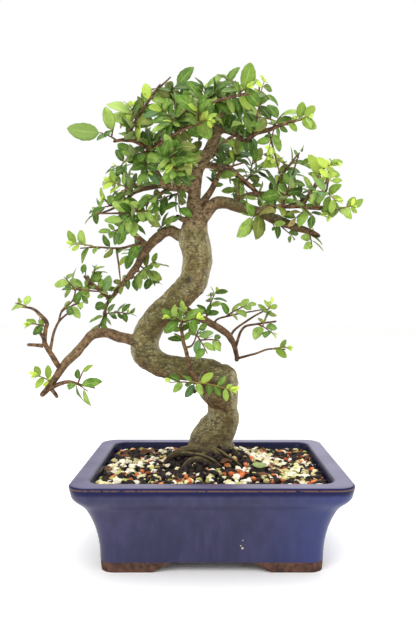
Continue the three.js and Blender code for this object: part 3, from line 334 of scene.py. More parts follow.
class Bench:
    """The node tree of one material."""

    def __init__(self, name: str) -> None:
        """Starts an empty material.

        Args:
            name: The material's name.
        """
        self.material = bpy.data.materials.new(name)
        self.material.use_nodes = True
        self.tree = self.material.node_tree
        self.tree.nodes.clear()
        self.place = Signal(self, self.node("ShaderNodeTexCoord").outputs["Object"])

    def node(
        self,
        kind: str,
        settings: Mapping[str, Any] | None = None,
        inputs: Mapping[Any, Any] | None = None,
    ) -> bpy.types.Node:
        """Adds any node.

        Args:
            kind: The node's type.
            settings: Its properties, set first; "stops" holds a ramp's positions and colours.
            inputs: A value or a signal for each socket, by its name or number.

        Returns:
            The node.
        """
        made = self.tree.nodes.new(kind)
        for name, value in (settings or {}).items():
            if name == "stops":
                self._set_stops(made.color_ramp, value)
            else:
                setattr(made, name, value)
        for key, value in (inputs or {}).items():
            socket = made.inputs[key]
            if isinstance(value, Signal):
                self.tree.links.new(value.socket, socket)
            elif socket.type == "RGBA" and len(value) == 3:
                socket.default_value = (*value, 1.0)
            else:
                socket.default_value = value
        return made

    @staticmethod
    def _set_stops(ramp: bpy.types.ColorRamp, stops: Sequence[tuple[float, Colour]]) -> None:
        """Gives a ramp its stops, each a position and a colour."""
        while len(ramp.elements) < len(stops):
            ramp.elements.new(1.0)
        for element, (position, colour) in zip(ramp.elements, stops):
            element.position = position
            element.color = (*colour, 1.0)

    def maths(self, operation: str, first: Any, second: Any = 0.0) -> Signal:
        """One Math node.

        Args:
            operation: The node's operation.
            first: Its first value or signal.
            second: Its second value or signal.

        Returns:
            The result.
        """
        made = self.node("ShaderNodeMath", {"operation": operation}, {0: first, 1: second})
        return Signal(self, made.outputs[0])

    def parts(self, vector: Signal) -> tuple[Signal, Signal, Signal]:
        """The three numbers of a vector."""
        made = self.node("ShaderNodeSeparateXYZ", None, {0: vector})
        return tuple(Signal(self, made.outputs[i]) for i in range(3))

    def mark(self, name: str) -> tuple[Signal, Signal, Signal]:
        """The three numbers that a mesh keeps at each point under a name."""
        made = self.node("ShaderNodeAttribute", {"attribute_name": name})
        return self.parts(Signal(self, made.outputs["Vector"]))

    def stretched(self, scale: tuple[float, float, float]) -> Signal:
        """The place on the object, stretched along each axis."""
        made = self.node("ShaderNodeVectorMath", {"operation": "MULTIPLY"}, {0: self.place, 1: scale})
        return Signal(self, made.outputs[0])

    def millimetres(self) -> tuple[Signal, Signal, Signal]:
        """The place in millimetres from the row frame's origin: to the right, back and up."""
        return tuple(part * (1.0 / MM) for part in self.parts(self.place))

    def facing(self) -> tuple[Signal, Signal, Signal]:
        """How far the surface faces to the right, back and up, each from -1 to 1."""
        return self.parts(Signal(self, self.node("ShaderNodeNewGeometry").outputs["Normal"]))

    def noise(
        self, size: float, detail: float = 2.0, rough: float = 0.5, at: Signal | None = None
    ) -> Signal:
        """Soft random blotches.

        Args:
            size: The blotches' size in millimetres.
            detail: How many finer layers lie on them.
            rough: How strong those are.
            at: The place to read them at, when it isn't the plain place on the object.

        Returns:
            The blotches, about 0.2 to 0.8.
        """
        inputs = {
            "Vector": at or self.place,
            "Scale": 1.0 / (size * MM),
            "Detail": detail,
            "Roughness": rough,
        }
        return Signal(self, self.node("ShaderNodeTexNoise", None, inputs).outputs[0])

    def mix(self, factor: Signal | float, first: Any, second: Any) -> Signal:
        """A blend of two colours.

        Args:
            factor: 0 for the first colour, 1 for the second.
            first: A colour or a signal.
            second: A colour or a signal.

        Returns:
            The blended colour.
        """
        made = self.node("ShaderNodeMix", {"data_type": "RGBA"}, {0: factor, 6: first, 7: second})
        return Signal(self, made.outputs[2])

    def ramp(self, at: Signal, stops: Sequence[tuple[float, Colour]]) -> Signal:
        """A colour that changes with a signal, through stops."""
        made = self.node("ShaderNodeValToRGB", {"stops": stops}, {0: at})
        return Signal(self, made.outputs[0])

    def bump(self, height: Signal, distance: float, strength: float = 1.0) -> Signal:
        """Relief.

        Args:
            height: How high the surface stands, from 0 to 1.
            distance: What 1 means, in millimetres.
            strength: How much of it shows.

        Returns:
            The bent surface direction.
        """
        inputs = {"Strength": strength, "Distance": distance * MM, "Height": height}
        return Signal(self, self.node("ShaderNodeBump", None, inputs).outputs[0])

    def finish(self, **inputs: Any) -> Material:
        """Ends the material in one surface shader.

        Args:
            inputs: The shader's sockets, with a line for each space in their names.

        Returns:
            The material.
        """
        named = {name.replace("_", " "): value for name, value in inputs.items()}
        shader = self.node("ShaderNodeBsdfPrincipled", None, named)
        output = self.node("ShaderNodeOutputMaterial")
        self.tree.links.new(shader.outputs[0], output.inputs["Surface"])
        return self.material


def linear(red: int, green: int, blue: int) -> Colour:
    """A colour given as it looks on a screen, from 0 to 255, as the light that it sends."""
    shown = np.array([red, green, blue]) / 255.0
    light = np.where(shown <= 0.04045, shown / 12.92, ((shown + 0.055) / 1.055) ** 2.4)
    return tuple(float(part) for part in light)


@dataclass(frozen=True)
class Glaze:
    """Violet-blue glaze over brown stoneware, bare on the feet and thin along the lip."""

    body: Colour = linear(52, 50, 82)
    deep: Colour = linear(43, 42, 71)
    pale: Colour = linear(64, 60, 95)
    blue: Colour = linear(46, 57, 109)
    # Painted shade: the dark band under the lip's overhang
    lip_shade: Colour = linear(3, 6, 58)
    # The inner wall above the soil, painted dark as shade
    inner: Colour = linear(7, 10, 50)
    lip: Colour = linear(96, 90, 120)
    thin: Colour = linear(100, 74, 60)
    clay: Colour = linear(98, 68, 54)
    dark_clay: Colour = linear(62, 45, 39)
    cream: Colour = linear(208, 192, 156)
    half_length: float = 125.0
    half_width: float = 97.5
    foot_line: float = 9.4
    foot_blur: float = 0.7
    lip_shade_rise: Span = (73, 77)
    worn_rise: Span = (78.9, 79.4)
    worn_fall: Span = (80.7, 80.2)
    top_rise: Span = (81.6, 81.9)
    shaded_inside_inset: Span = (12.6, 13.6)
    shaded_inside_rise: Span = (62, 64)
    blue_to_right: Span = (70, 165)
    front_wall: Span = (-50, -60)
    chips: Rows = ((27.1, 22.3, 1.0), (25.6, 24.6, 0.6), (27.5, 29.6, 0.6))
    chip_core: float = 0.6

    def build(self) -> Material:
        """Makes the material from the place on the pot."""
        bench = Bench("pot_glaze")
        right, back, height = bench.millimetres()
        wobble = bench.noise(9.0, 2.0) - 0.5
        runs = bench.noise(7.0, 3.0, 0.55, bench.stretched((1.0, 1.0, 0.22)))
        cloud = bench.noise(46.0, 2.0)

        # The walls, bluer to the right, then the dark band under the lip as painted shade, the lip's top,
        # and the inner wall darkened as painted shade
        colour = bench.mix((runs * 0.75 + cloud * 0.5).rise(0.42, 0.82), self.deep, self.body)
        colour = bench.mix((cloud * 0.6 + runs * 0.6).rise(0.6, 0.86) * 0.35, colour, self.pale)
        colour = bench.mix(bench.noise(1.6, 2.0, 0.6).rise(0.6, 0.74) * 0.25, colour, self.deep)
        colour = bench.mix((right + cloud * 40.0).rise(*self.blue_to_right) * 0.8, colour, self.blue)
        # Painted shade: the lip's overhang is painted as a dark band
        lip_shade = (height + wobble * 1.6).rise(*self.lip_shade_rise)
        colour = bench.mix(lip_shade * 0.97, colour, self.lip_shade)
        top = height.rise(*self.top_rise)
        colour = bench.mix(top, colour, bench.mix(cloud.rise(0.35, 0.7) * 0.6, self.lip, self.pale))
        # Painted shade: the inner wall above the soil is darkened
        shaded_inside = self._inset(right, back).rise(*self.shaded_inside_inset) * height.rise(*self.shaded_inside_rise)
        colour = bench.mix(shaded_inside * (1.0 - top), colour, self.inner)

        # Where it has run thin on the lip, where the clay is bare, and where it is chipped
        worn = height.rise(*self.worn_rise) * height.rise(*self.worn_fall)
        worn = worn * bench.noise(3.0, 3.0).rise(0.3, 0.5) * (1.0 - shaded_inside)
        colour = bench.mix(worn * 0.85, colour, self.thin)
        clay = bench.mix(bench.noise(5.0, 4.0, 0.65).rise(0.34, 0.66), self.dark_clay, self.clay)
        bare = (height + wobble * 1.1).rise(self.foot_line, self.foot_line - self.foot_blur)
        colour = bench.mix(bare, colour, clay)
        chips = self._chips(right, back, height) * bench.noise(2.2, 1.0).rise(0.3, 0.4)
        colour = bench.mix(chips, colour, self.cream)

        relief = bench.noise(16.0, 2.0) * 0.5 + bare * bench.noise(1.3, 3.0, 0.7) * 0.4
        return bench.finish(
            Base_Color=colour,
            Roughness=0.3 + bare * 0.5 + chips * 0.4 + runs * 0.1 + top * 0.05,
            Specular_IOR_Level=0.2,
            Coat_Weight=(1.0 - bare) * (1.0 - lip_shade) * 0.15,
            Coat_Roughness=0.16,
            Normal=bench.bump(relief, 0.5, 0.5),
        )

    def _inset(self, right: Signal, back: Signal) -> Signal:
        """How far in from the rim's edge a place lies, in millimetres."""
        aside = (right - POT_MIDDLE[0]).abs() - self.half_length
        ahead = (back - POT_MIDDLE[1]).abs() - self.half_width
        return -aside.most(ahead)

    def _chips(self, right: Signal, back: Signal, height: Signal) -> Signal:
        """1 on the small chips in the front wall's glaze, else 0."""
        chipped = 0.0
        for x, z, radius in self.chips:
            away = (right - (x + POT_MIDDLE[0])).abs().most((height - z).abs())
            chipped = away.rise(radius, radius * self.chip_core) + chipped
        return chipped * back.rise(*self.front_wall)


@dataclass(frozen=True)
class Bark:
    """Living bark: olive grey with pale lichen flecks on the trunk, redder and darker on twigs."""

    olive: Colour = linear(112, 102, 58)
    grey: Colour = linear(140, 131, 92)
    # Painted light on the trunk's sides
    painted_side_light: Colour = linear(182, 174, 142)
    moss: Colour = linear(88, 85, 44)
    # Browner bark below, darkened as painted shade
    underside_brown_and_shade: Colour = linear(106, 74, 44)
    umber: Colour = linear(56, 44, 29)
    fleck: Colour = linear(178, 172, 136)
    limb: Colour = linear(146, 116, 84)
    limb_dark: Colour = linear(88, 65, 46)
    rough: Colour = linear(154, 128, 94)
    rough_dark: Colour = linear(78, 60, 43)
    root: Colour = linear(40, 33, 24)
    # Moss on the roots' tops, paled as painted light
    root_moss_and_light: Colour = linear(122, 110, 66)
    twig: Colour = linear(60, 38, 29)
    twig_pale: Colour = linear(134, 102, 68)
    cut: Colour = linear(176, 152, 116)
    stout: Span = (12, 18)
    limb_from: Span = (16, 10)
    twig_from: Span = (9.5, 4)
    past_twig: Span = (4, 9.5)
    ringed_height: Span = (330, 190)
    right_limb: Span = (34, 42)
    right_limb_height: Span = (285, 300)
    foot_height: Span = (124, 112)
    shaded_foot: Span = (128, 98)
    crown_height: Span = (308, 320)
    crown_left: Span = (32, 24)
    crown_top: Span = (353, 361)

    def build(self) -> Material:
        """Makes the material from the place and from how thick the wood is there."""
        bench = Bench("bark")
        # low: 1 on the roots and near the soil, and in the deep hollows, whose dark colour there is painted
        # shade
        thick, wound, low = bench.mark("wood")
        right, _, height = bench.millimetres()
        aside, _, up = bench.facing()
        patches = bench.noise(21.0, 3.0, 0.55)
        mottle = bench.noise(5.2, 4.0, 0.62)
        grain = bench.noise(2.5, 3.0, 0.66, bench.stretched((0.8, 0.8, 1.4)))
        rings = bench.noise(6.5, 3.0, 0.62, bench.stretched((0.5, 0.5, 2.2)))
        flecks = bench.noise(3.1, 3.0, 0.6, bench.stretched((1.0, 1.0, 1.5)))

        # The trunk: olive and grey patches with dark rings, browner below with painted shade, paled at its
        # sides as painted light, flecked
        colour = bench.mix(patches.rise(0.44, 0.66) * 0.7, self.olive, self.grey)
        colour = bench.mix(bench.noise(30.0, 2.0).rise(0.5, 0.68) * 0.6, colour, self.moss)
        ringed = rings.rise(0.47, 0.6) * height.rise(*self.ringed_height) * 0.55
        colour = bench.mix(ringed, colour, self.umber)
        # Undersides: browner bark, partly darkened as painted shade
        colour = bench.mix(up.rise(0.1, -0.9) * 0.85, colour, self.underside_brown_and_shade)
        colour = bench.mix(mottle.rise(0.54, 0.38) * 0.6, colour, self.umber)
        # Painted light: the thick wood is paled where it faces left or right
        side = aside.abs().rise(0.5, 0.97) * thick.rise(*self.stout) * (0.25 + mottle * 0.6)
        colour = bench.mix(side, colour, self.painted_side_light)
        colour = bench.mix(flecks.rise(0.53, 0.68) * patches.rise(0.34, 0.58) * 0.6, colour, self.fleck)

        # The limbs are brown, but for the thick one at the right, and crackled in the crown
        brown = bench.mix((mottle * 0.6 + grain * 0.5).rise(0.46, 0.72), self.limb_dark, self.limb)
        right_limb = right.rise(*self.right_limb) * height.rise(*self.right_limb_height)
        plain = right_limb.most(height.rise(*self.foot_height))
        colour = bench.mix(thick.rise(*self.limb_from) * (1.0 - plain) * 0.8, colour, brown)
        middle = right.rise(*self.crown_left).most(height.rise(*self.crown_top))
        crown = height.rise(*self.crown_height) * middle
        crackle = (mottle * 0.6 + grain * 0.6).rise(0.48, 0.72)
        colour = bench.mix(crown * 0.85, colour, bench.mix(crackle, self.rough_dark, self.rough))

        # The twigs are reddish, and dark cracks run over all the wood
        slim = bench.mix((mottle * 0.7 + grain * 0.4).rise(0.42, 0.72), self.twig, self.twig_pale)
        colour = bench.mix(thick.rise(*self.twig_from), colour, slim)
        colour = bench.mix(grain.rise(0.47, 0.36) * 0.75, colour, self.umber)
        # Painted shade: the thick right limb is darkened
        shaded = right_limb * thick.rise(*self.past_twig) * (0.2 + mottle * 0.35)
        colour = bench.mix(shaded, colour, self.umber)

        # The roots are dark, paler on top with moss and painted light, the old pruning wound is pale, and
        # the foot is in shade
        # Root tops: moss, and paler as painted light where they face up
        lit_mossy_tops = up.rise(0.3, 0.9) * mottle.rise(0.34, 0.56)
        # The deep hollows take this dark colour as painted shade
        colour = bench.mix(low * 0.92, colour, bench.mix(lit_mossy_tops * 0.75, self.root, self.root_moss_and_light))
        colour = bench.mix(wound * bench.noise(3.0, 1.0).rise(0.2, 0.5), colour, self.cut)
        shaded = height.rise(*self.shaded_foot) * (0.15 + mottle * 0.35) * (1.0 - low)
        colour = bench.mix(shaded, colour, self.umber)

        relief = mottle * 0.5 + grain * (0.5 + crown * 0.7) + rings * 0.3
        return bench.finish(
            Base_Color=colour,
            Roughness=0.72 + grain * 0.2,
            Specular_IOR_Level=0.3,
            Normal=bench.bump(relief, 1.1, 0.75),
        )


@dataclass(frozen=True)
class Foliage:
    """Elm leaves: satin mid green with paler veins, pale below, yellow-green where they are new."""

    shade: Colour = linear(44, 72, 19)
    green: Colour = linear(84, 121, 32)
    light: Colour = linear(156, 183, 86)
    olive: Colour = linear(138, 128, 66)
    young: Colour = linear(204, 230, 88)
    below: Colour = linear(156, 168, 112)
    vein: Colour = linear(184, 198, 124)
    cool: Colour = linear(96, 136, 104)
    dry: Colour = linear(188, 158, 104)
    stalk: Colour = linear(96, 62, 42)
    stalk_young: Colour = linear(140, 126, 60)
    vein_pairs: float = 7.0
    cool_kind: Span = (0.92, 0.93)
    olive_kind: Span = (0.14, 0.13)
    dry_kind: Span = (0.006, 0.005)

    def build(self) -> Material:
        """Makes the material from the marks that each leaf keeps: where on it a point is, and its tone."""
        bench = Bench("foliage")
        across, along, under = bench.mark("blade")
        tone, youth, stem = bench.mark("leaf")
        out = across.abs()
        blotch = bench.noise(5.0, 2.0)

        # The blade's green by its tone, with a few leaves cool, olive or dry, and new ones yellow-green
        stops = [(0.1, self.shade), (0.55, self.green), (0.98, self.light)]
        colour = bench.ramp(tone * 0.75 + (blotch - 0.5) * 0.7 + 0.16, stops)
        kind = (tone * 41.0).fraction()
        colour = bench.mix(kind.rise(*self.cool_kind) * 0.4, colour, self.cool)
        colour = bench.mix(kind.rise(*self.olive_kind) * (0.1 + blotch * 0.7), colour, self.olive)
        colour = bench.mix(kind.rise(*self.dry_kind) * blotch.rise(0.4, 0.5) * 0.7, colour, self.dry)
        colour = bench.mix(youth, colour, self.young)
        colour = bench.mix(under * (0.72 - youth * 0.4), colour, self.below)

        # The middle rib and the slanting veins, the edge darkened as painted shade, and the stalks and
        # stems
        rib = out.rise(0.13, 0.03) * along.rise(1.0, 0.6)
        slant = (along - out * 0.2) * self.vein_pairs
        veins = (slant.fraction() - 0.5).abs().rise(0.1, 0.0) * out.rise(1.0, 0.7)
        marked = rib.most(veins * 0.6) * (1.0 - stem)
        colour = bench.mix(marked * 0.36, colour, self.vein)
        # Painted shade along the blade's edge
        colour = bench.mix(out.rise(0.8, 1.0) * 0.25 * (1.0 - stem), colour, self.shade)
        colour = bench.mix(stem, colour, bench.mix(youth, self.stalk, self.stalk_young))
        return bench.finish(
            Base_Color=colour,
            Roughness=0.5 + under * 0.2 + stem * 0.15,
            Specular_IOR_Level=0.22,
            Normal=bench.bump(blotch * 0.4 - marked, 0.35, 0.7),
        )


class Stone(Enum):
    """What the soil's grains are made of: a plain name, with the dark and the pale colour of each."""

    PUMICE = ("pumice", linear(206, 196, 170), linear(248, 242, 224))
    CREAM = ("cream_grit", linear(190, 178, 120), linear(234, 227, 174))
    CLAY = ("fired_clay", linear(150, 70, 34), linear(222, 128, 76))
    TAN = ("tan_grit", linear(124, 90, 54), linear(186, 146, 98))
    OLIVE = ("olive_grit", linear(140, 140, 60), linear(202, 201, 120))
    EARTH = ("earth_crumb", linear(18, 14, 13), linear(50, 40, 36))
    CHIP = ("bark_chip", linear(58, 38, 26), linear(120, 80, 54))

    def build(self) -> Material:
        """Makes the stone's material; each grain keeps a tone of its own."""
        name, dark, pale = self.value
        bench = Bench(name)
        tone = bench.mark("grain")[0]
        pits = bench.noise(0.9, 3.0, 0.7)
        colour = bench.mix((tone * 0.75 + pits * 0.35).rise(0.1, 0.95), dark, pale)
        return bench.finish(
            Base_Color=colour,
            Roughness=0.82 + pits * 0.12,
            Specular_IOR_Level=0.3,
            Normal=bench.bump(pits, 0.4, 0.8),
        )


@dataclass(frozen=True)
class Humus:
    """The dark earth between the grains."""

    dark: Colour = linear(14, 11, 10)
    pale: Colour = linear(46, 36, 30)

    def build(self) -> Material:
        """Makes the earth's material."""
        bench = Bench("humus")
        crumbs = bench.noise(2.4, 4.0, 0.7)
        colour = bench.mix(crumbs.rise(0.36, 0.7), self.dark, self.pale)
        return bench.finish(
            Base_Color=colour,
            Roughness=0.9 + crumbs * 0.05,
            Specular_IOR_Level=0.25,
            Normal=bench.bump(crumbs, 1.2, 1.0),
        )


@dataclass(frozen=True)
class NetPlastic:
    """Dark moulded plastic with dust in it."""

    dark: Colour = linear(30, 33, 36)
    dusty: Colour = linear(74, 70, 62)

    def build(self) -> Material:
        """Makes the plastic's material."""
        bench = Bench("net_plastic")
        dust = bench.noise(4.0, 3.0, 0.6)
        colour = bench.mix(dust.rise(0.48, 0.72), self.dark, self.dusty)
        relief = bench.bump(dust, 0.2, 0.5)
        return bench.finish(Base_Color=colour, Roughness=0.45 + dust * 0.3, Normal=relief)


class Gathered:
    """Points, faces and marks of many small bodies that make up one mesh."""

    def __init__(self) -> None:
        """Starts empty."""
        self.points: list[np.ndarray] = []
        self.faces: list[list[int]] = []
        self.marks: dict[str, list[np.ndarray]] = {}
        self.count = 0

    def add(self, points: np.ndarray, faces: Iterable[Sequence[int]], **marks: np.ndarray) -> None:
        """Adds one body.

        Args:
            points: Its points, in millimetres from the pot's middle.
            faces: Its faces, as numbers of those points.
            marks: Three numbers at each point, or three for the whole body, under each name.
        """
        self.points.append(points)
        self.faces.extend([[self.count + i for i in face] for face in faces])
        for name, values in marks.items():
            full = np.broadcast_to(np.asarray(values, float), (len(points), 3))
            self.marks.setdefault(name, []).append(full)
        self.count += len(points)

    def build(self, name: str, sharp_over: float | None = None) -> Object:
        """Makes the mesh in the row frame and links it to the scene.

        Args:
            name: The piece's name.
            sharp_over: Edges that turn by more degrees than this stay sharp; None keeps all smooth.

        Returns:
            The new object.
        """
        mesh = bpy.data.meshes.new(name)
        points = (np.concatenate(self.points) + POT_MIDDLE) * MM
        mesh.from_pydata(points.tolist(), [], self.faces)
        for mark, parts in self.marks.items():
            layer = mesh.attributes.new(mark, "FLOAT_VECTOR", "POINT")
            layer.data.foreach_set("vector", np.concatenate(parts).astype(np.float32).ravel())
        made = placed(name, mesh)
        smooth(made, sharp_over)
        return made


def placed(name: str, data: bpy.types.ID) -> Object:
    """Makes an object of its data and links it to the scene."""
    made = bpy.data.objects.new(name, data)
    bpy.context.scene.collection.objects.link(made)
    return made


def solid(name: str, points: np.ndarray, faces: Iterable[Sequence[int]]) -> Object:
    """Makes a piece of one body from its points and faces."""
    body = Gathered()
    body.add(points, faces)
    return body.build(name)


def smooth(piece: Object, sharp_over: float | None) -> None:
    """Shades a piece smooth, with edges over an angle in degrees kept sharp."""
    piece.data.shade_smooth()
    if sharp_over is not None:
        piece.data.set_sharp_from_angle(angle=math.radians(sharp_over))


def modify(piece: Object, kind: str, **settings: Any) -> None:
    """Adds a modifier with its settings to a piece."""
    modifier = piece.modifiers.new(kind.lower(), kind)
    for name, value in settings.items():
        setattr(modifier, name, value)


def apply_modifiers(piece: Object) -> None:
    """Turns a piece's modifiers into its mesh."""
    graph = bpy.context.evaluated_depsgraph_get()
    graph.update()
    shaped = bpy.data.meshes.new_from_object(piece.evaluated_get(graph))
    piece.modifiers.clear()
    old = piece.data
    shaped.name = piece.name
    piece.data = shaped
    bpy.data.meshes.remove(old)


def dress(piece: Object, material: Material, slot: str, *nodes: str) -> None:
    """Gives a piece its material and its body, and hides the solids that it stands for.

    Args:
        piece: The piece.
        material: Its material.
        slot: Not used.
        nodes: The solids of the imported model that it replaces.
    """
    piece.data.materials.clear()
    piece.data.materials.append(material)
    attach(piece, "root")
    if nodes:
        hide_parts(*nodes)
    piece.data.calc_loop_triangles()
    log.info("%s: %d triangles", piece.name, len(piece.data.loop_triangles))


def unit(vector: np.ndarray) -> np.ndarray:
    """The vector's direction."""
    return vector / np.linalg.norm(vector)


def square_on(face: np.ndarray, along: np.ndarray) -> np.ndarray:
    """The direction nearest to a face's that stands square on another direction."""
    return unit(face - along * face.dot(along))


def three_each(rows: Any, name: str) -> np.ndarray:
    """The three numbers that a mesh keeps under a name in each of its rows."""
    values = np.zeros(len(rows) * 3, np.float32)
    rows.foreach_get(name, values)
    return values.reshape(-1, 3).astype(float)


def spot_tree(spots: np.ndarray) -> kdtree.KDTree:
    """The tree that finds the nearest of many spots."""
    tree = kdtree.KDTree(len(spots))
    for i, spot in enumerate(spots):
        tree.insert(spot, i)
    tree.balance()
    return tree


def tapered(points: Sequence[np.ndarray], radii: Span) -> np.ndarray:
    """Points with the radius at each, which changes evenly from one end to the other."""
    return np.column_stack([points, np.linspace(*radii, len(points))])


def drawn(x: float, z: float, depth: float) -> np.ndarray:
    """The point that lies at a depth on the line of sight to a place in the front view.

    Args:
        x: To the right in the front view.
        z: Up in the front view.
        depth: Away from the viewer, from the plane through the pot's middle.

    Returns:
        The point, in millimetres from the pot's middle.
    """
    reach = (depth - EYE[1]) / -EYE[1]
    return np.array([EYE[0] + (x - EYE[0]) * reach, depth, EYE[2] + (z - EYE[2]) * reach])


def seen(at: np.ndarray) -> tuple[float, float]:
    """Where a place shows in the drawn front view."""
    reach = -EYE[1] / (at[1] - EYE[1])
    return EYE[0] + (at[0] - EYE[0]) * reach, EYE[2] + (at[2] - EYE[2]) * reach


def nearness(x: float, y: float, spots: Rows, full: float = 1.0) -> float:
    """How near a place is to the middle of the nearest spot: full there, and 1 less at its edge."""
    return max(full - math.hypot(x - mx, y - my) / radius for mx, my, radius in spots)


def within(x: float, y: float, oval: Sequence[float]) -> bool:
    """Whether a place is in an oval, given by its middle and its half widths."""
    return math.hypot((x - oval[0]) / oval[2], (y - oval[1]) / oval[3]) < 1


def rounded(points: np.ndarray, steps: int) -> np.ndarray:
    """A smooth line through points.

    Args:
        points: One row for each point; further columns, such as a radius, are smoothed as well.
        steps: How many stretches each span is cut into.

    Returns:
        The rows of the smooth line.
    """
    ends = np.vstack([2 * points[0] - points[1], points, 2 * points[-1] - points[-2]])
    rows = []
    for i in range(len(points) - 1):
        a, b, c, d = ends[i : i + 4]
        square, cube = 2 * a - 5 * b + 4 * c - d, 3 * b - a - 3 * c + d
        for t in np.linspace(0.0, 1.0, steps, endpoint=False):
            rows.append(0.5 * (2 * b + (c - a) * t + square * t**2 + cube * t**3))
    rows.append(points[-1])
    return np.array(rows)


def tube(centres: np.ndarray, radii: np.ndarray, sides: int) -> tuple[np.ndarray, list[list[int]]]:
    """A closed round tube along a line.

    Args:
        centres: The line's points.
        radii: The radius at each.
        sides: How many sides it has.

    Returns:
        Its points and faces.
    """
    ways = np.gradient(centres, axis=0)
    ways /= np.linalg.norm(ways, axis=1)[:, None]
    side = np.array([0.0, 0.0, 1.0]) if abs(ways[0][2]) < 0.8 else np.array([0.0, 1.0, 0.0])
    turns = np.linspace(0.0, 2 * math.pi, sides, endpoint=False)
    rings = []
    for centre, way, radius in zip(centres, ways, radii):
        side = unit(side - way * side.dot(way))
        third = np.cross(way, side)
        rings.append(centre + radius * (np.outer(np.cos(turns), side) + np.outer(np.sin(turns), third)))
    points = np.vstack(rings + [centres[:1], centres[-1:]])
    faces = lattice(len(centres), sides)
    first, last = len(points) - 2, len(points) - 1
    base = (len(centres) - 1) * sides
    for i in range(sides):
        faces.append([first, (i + 1) % sides, i])
        faces.append([last, base + i, base + (i + 1) % sides])
    return points, faces


def lattice(rings: int, around: int) -> list[list[int]]:
    """The four-sided faces between rings of equal numbers of points."""
    faces = []
    for ring in range(rings - 1):
        low = ring * around
        for i in range(around):
            j = (i + 1) % around
            faces.append([low + i, low + j, low + around + j, low + around + i])
    return faces


def seeded(seed: int) -> Draw:
    """The same random numbers from 0 to 1 as the part's own source draws from a seed."""
    state = seed & 0xFFFFFFFF

    def draw() -> float:
        """The next number."""
        nonlocal state
        state = (state + 0x6D2B79F5) & 0xFFFFFFFF
        mixed = ((state ^ (state >> 15)) * (state | 1)) & 0xFFFFFFFF
        mixed ^= (mixed + (((mixed ^ (mixed >> 7)) * (mixed | 61)) & 0xFFFFFFFF)) & 0xFFFFFFFF
        return (mixed ^ (mixed >> 14)) / 4294967296

    return draw


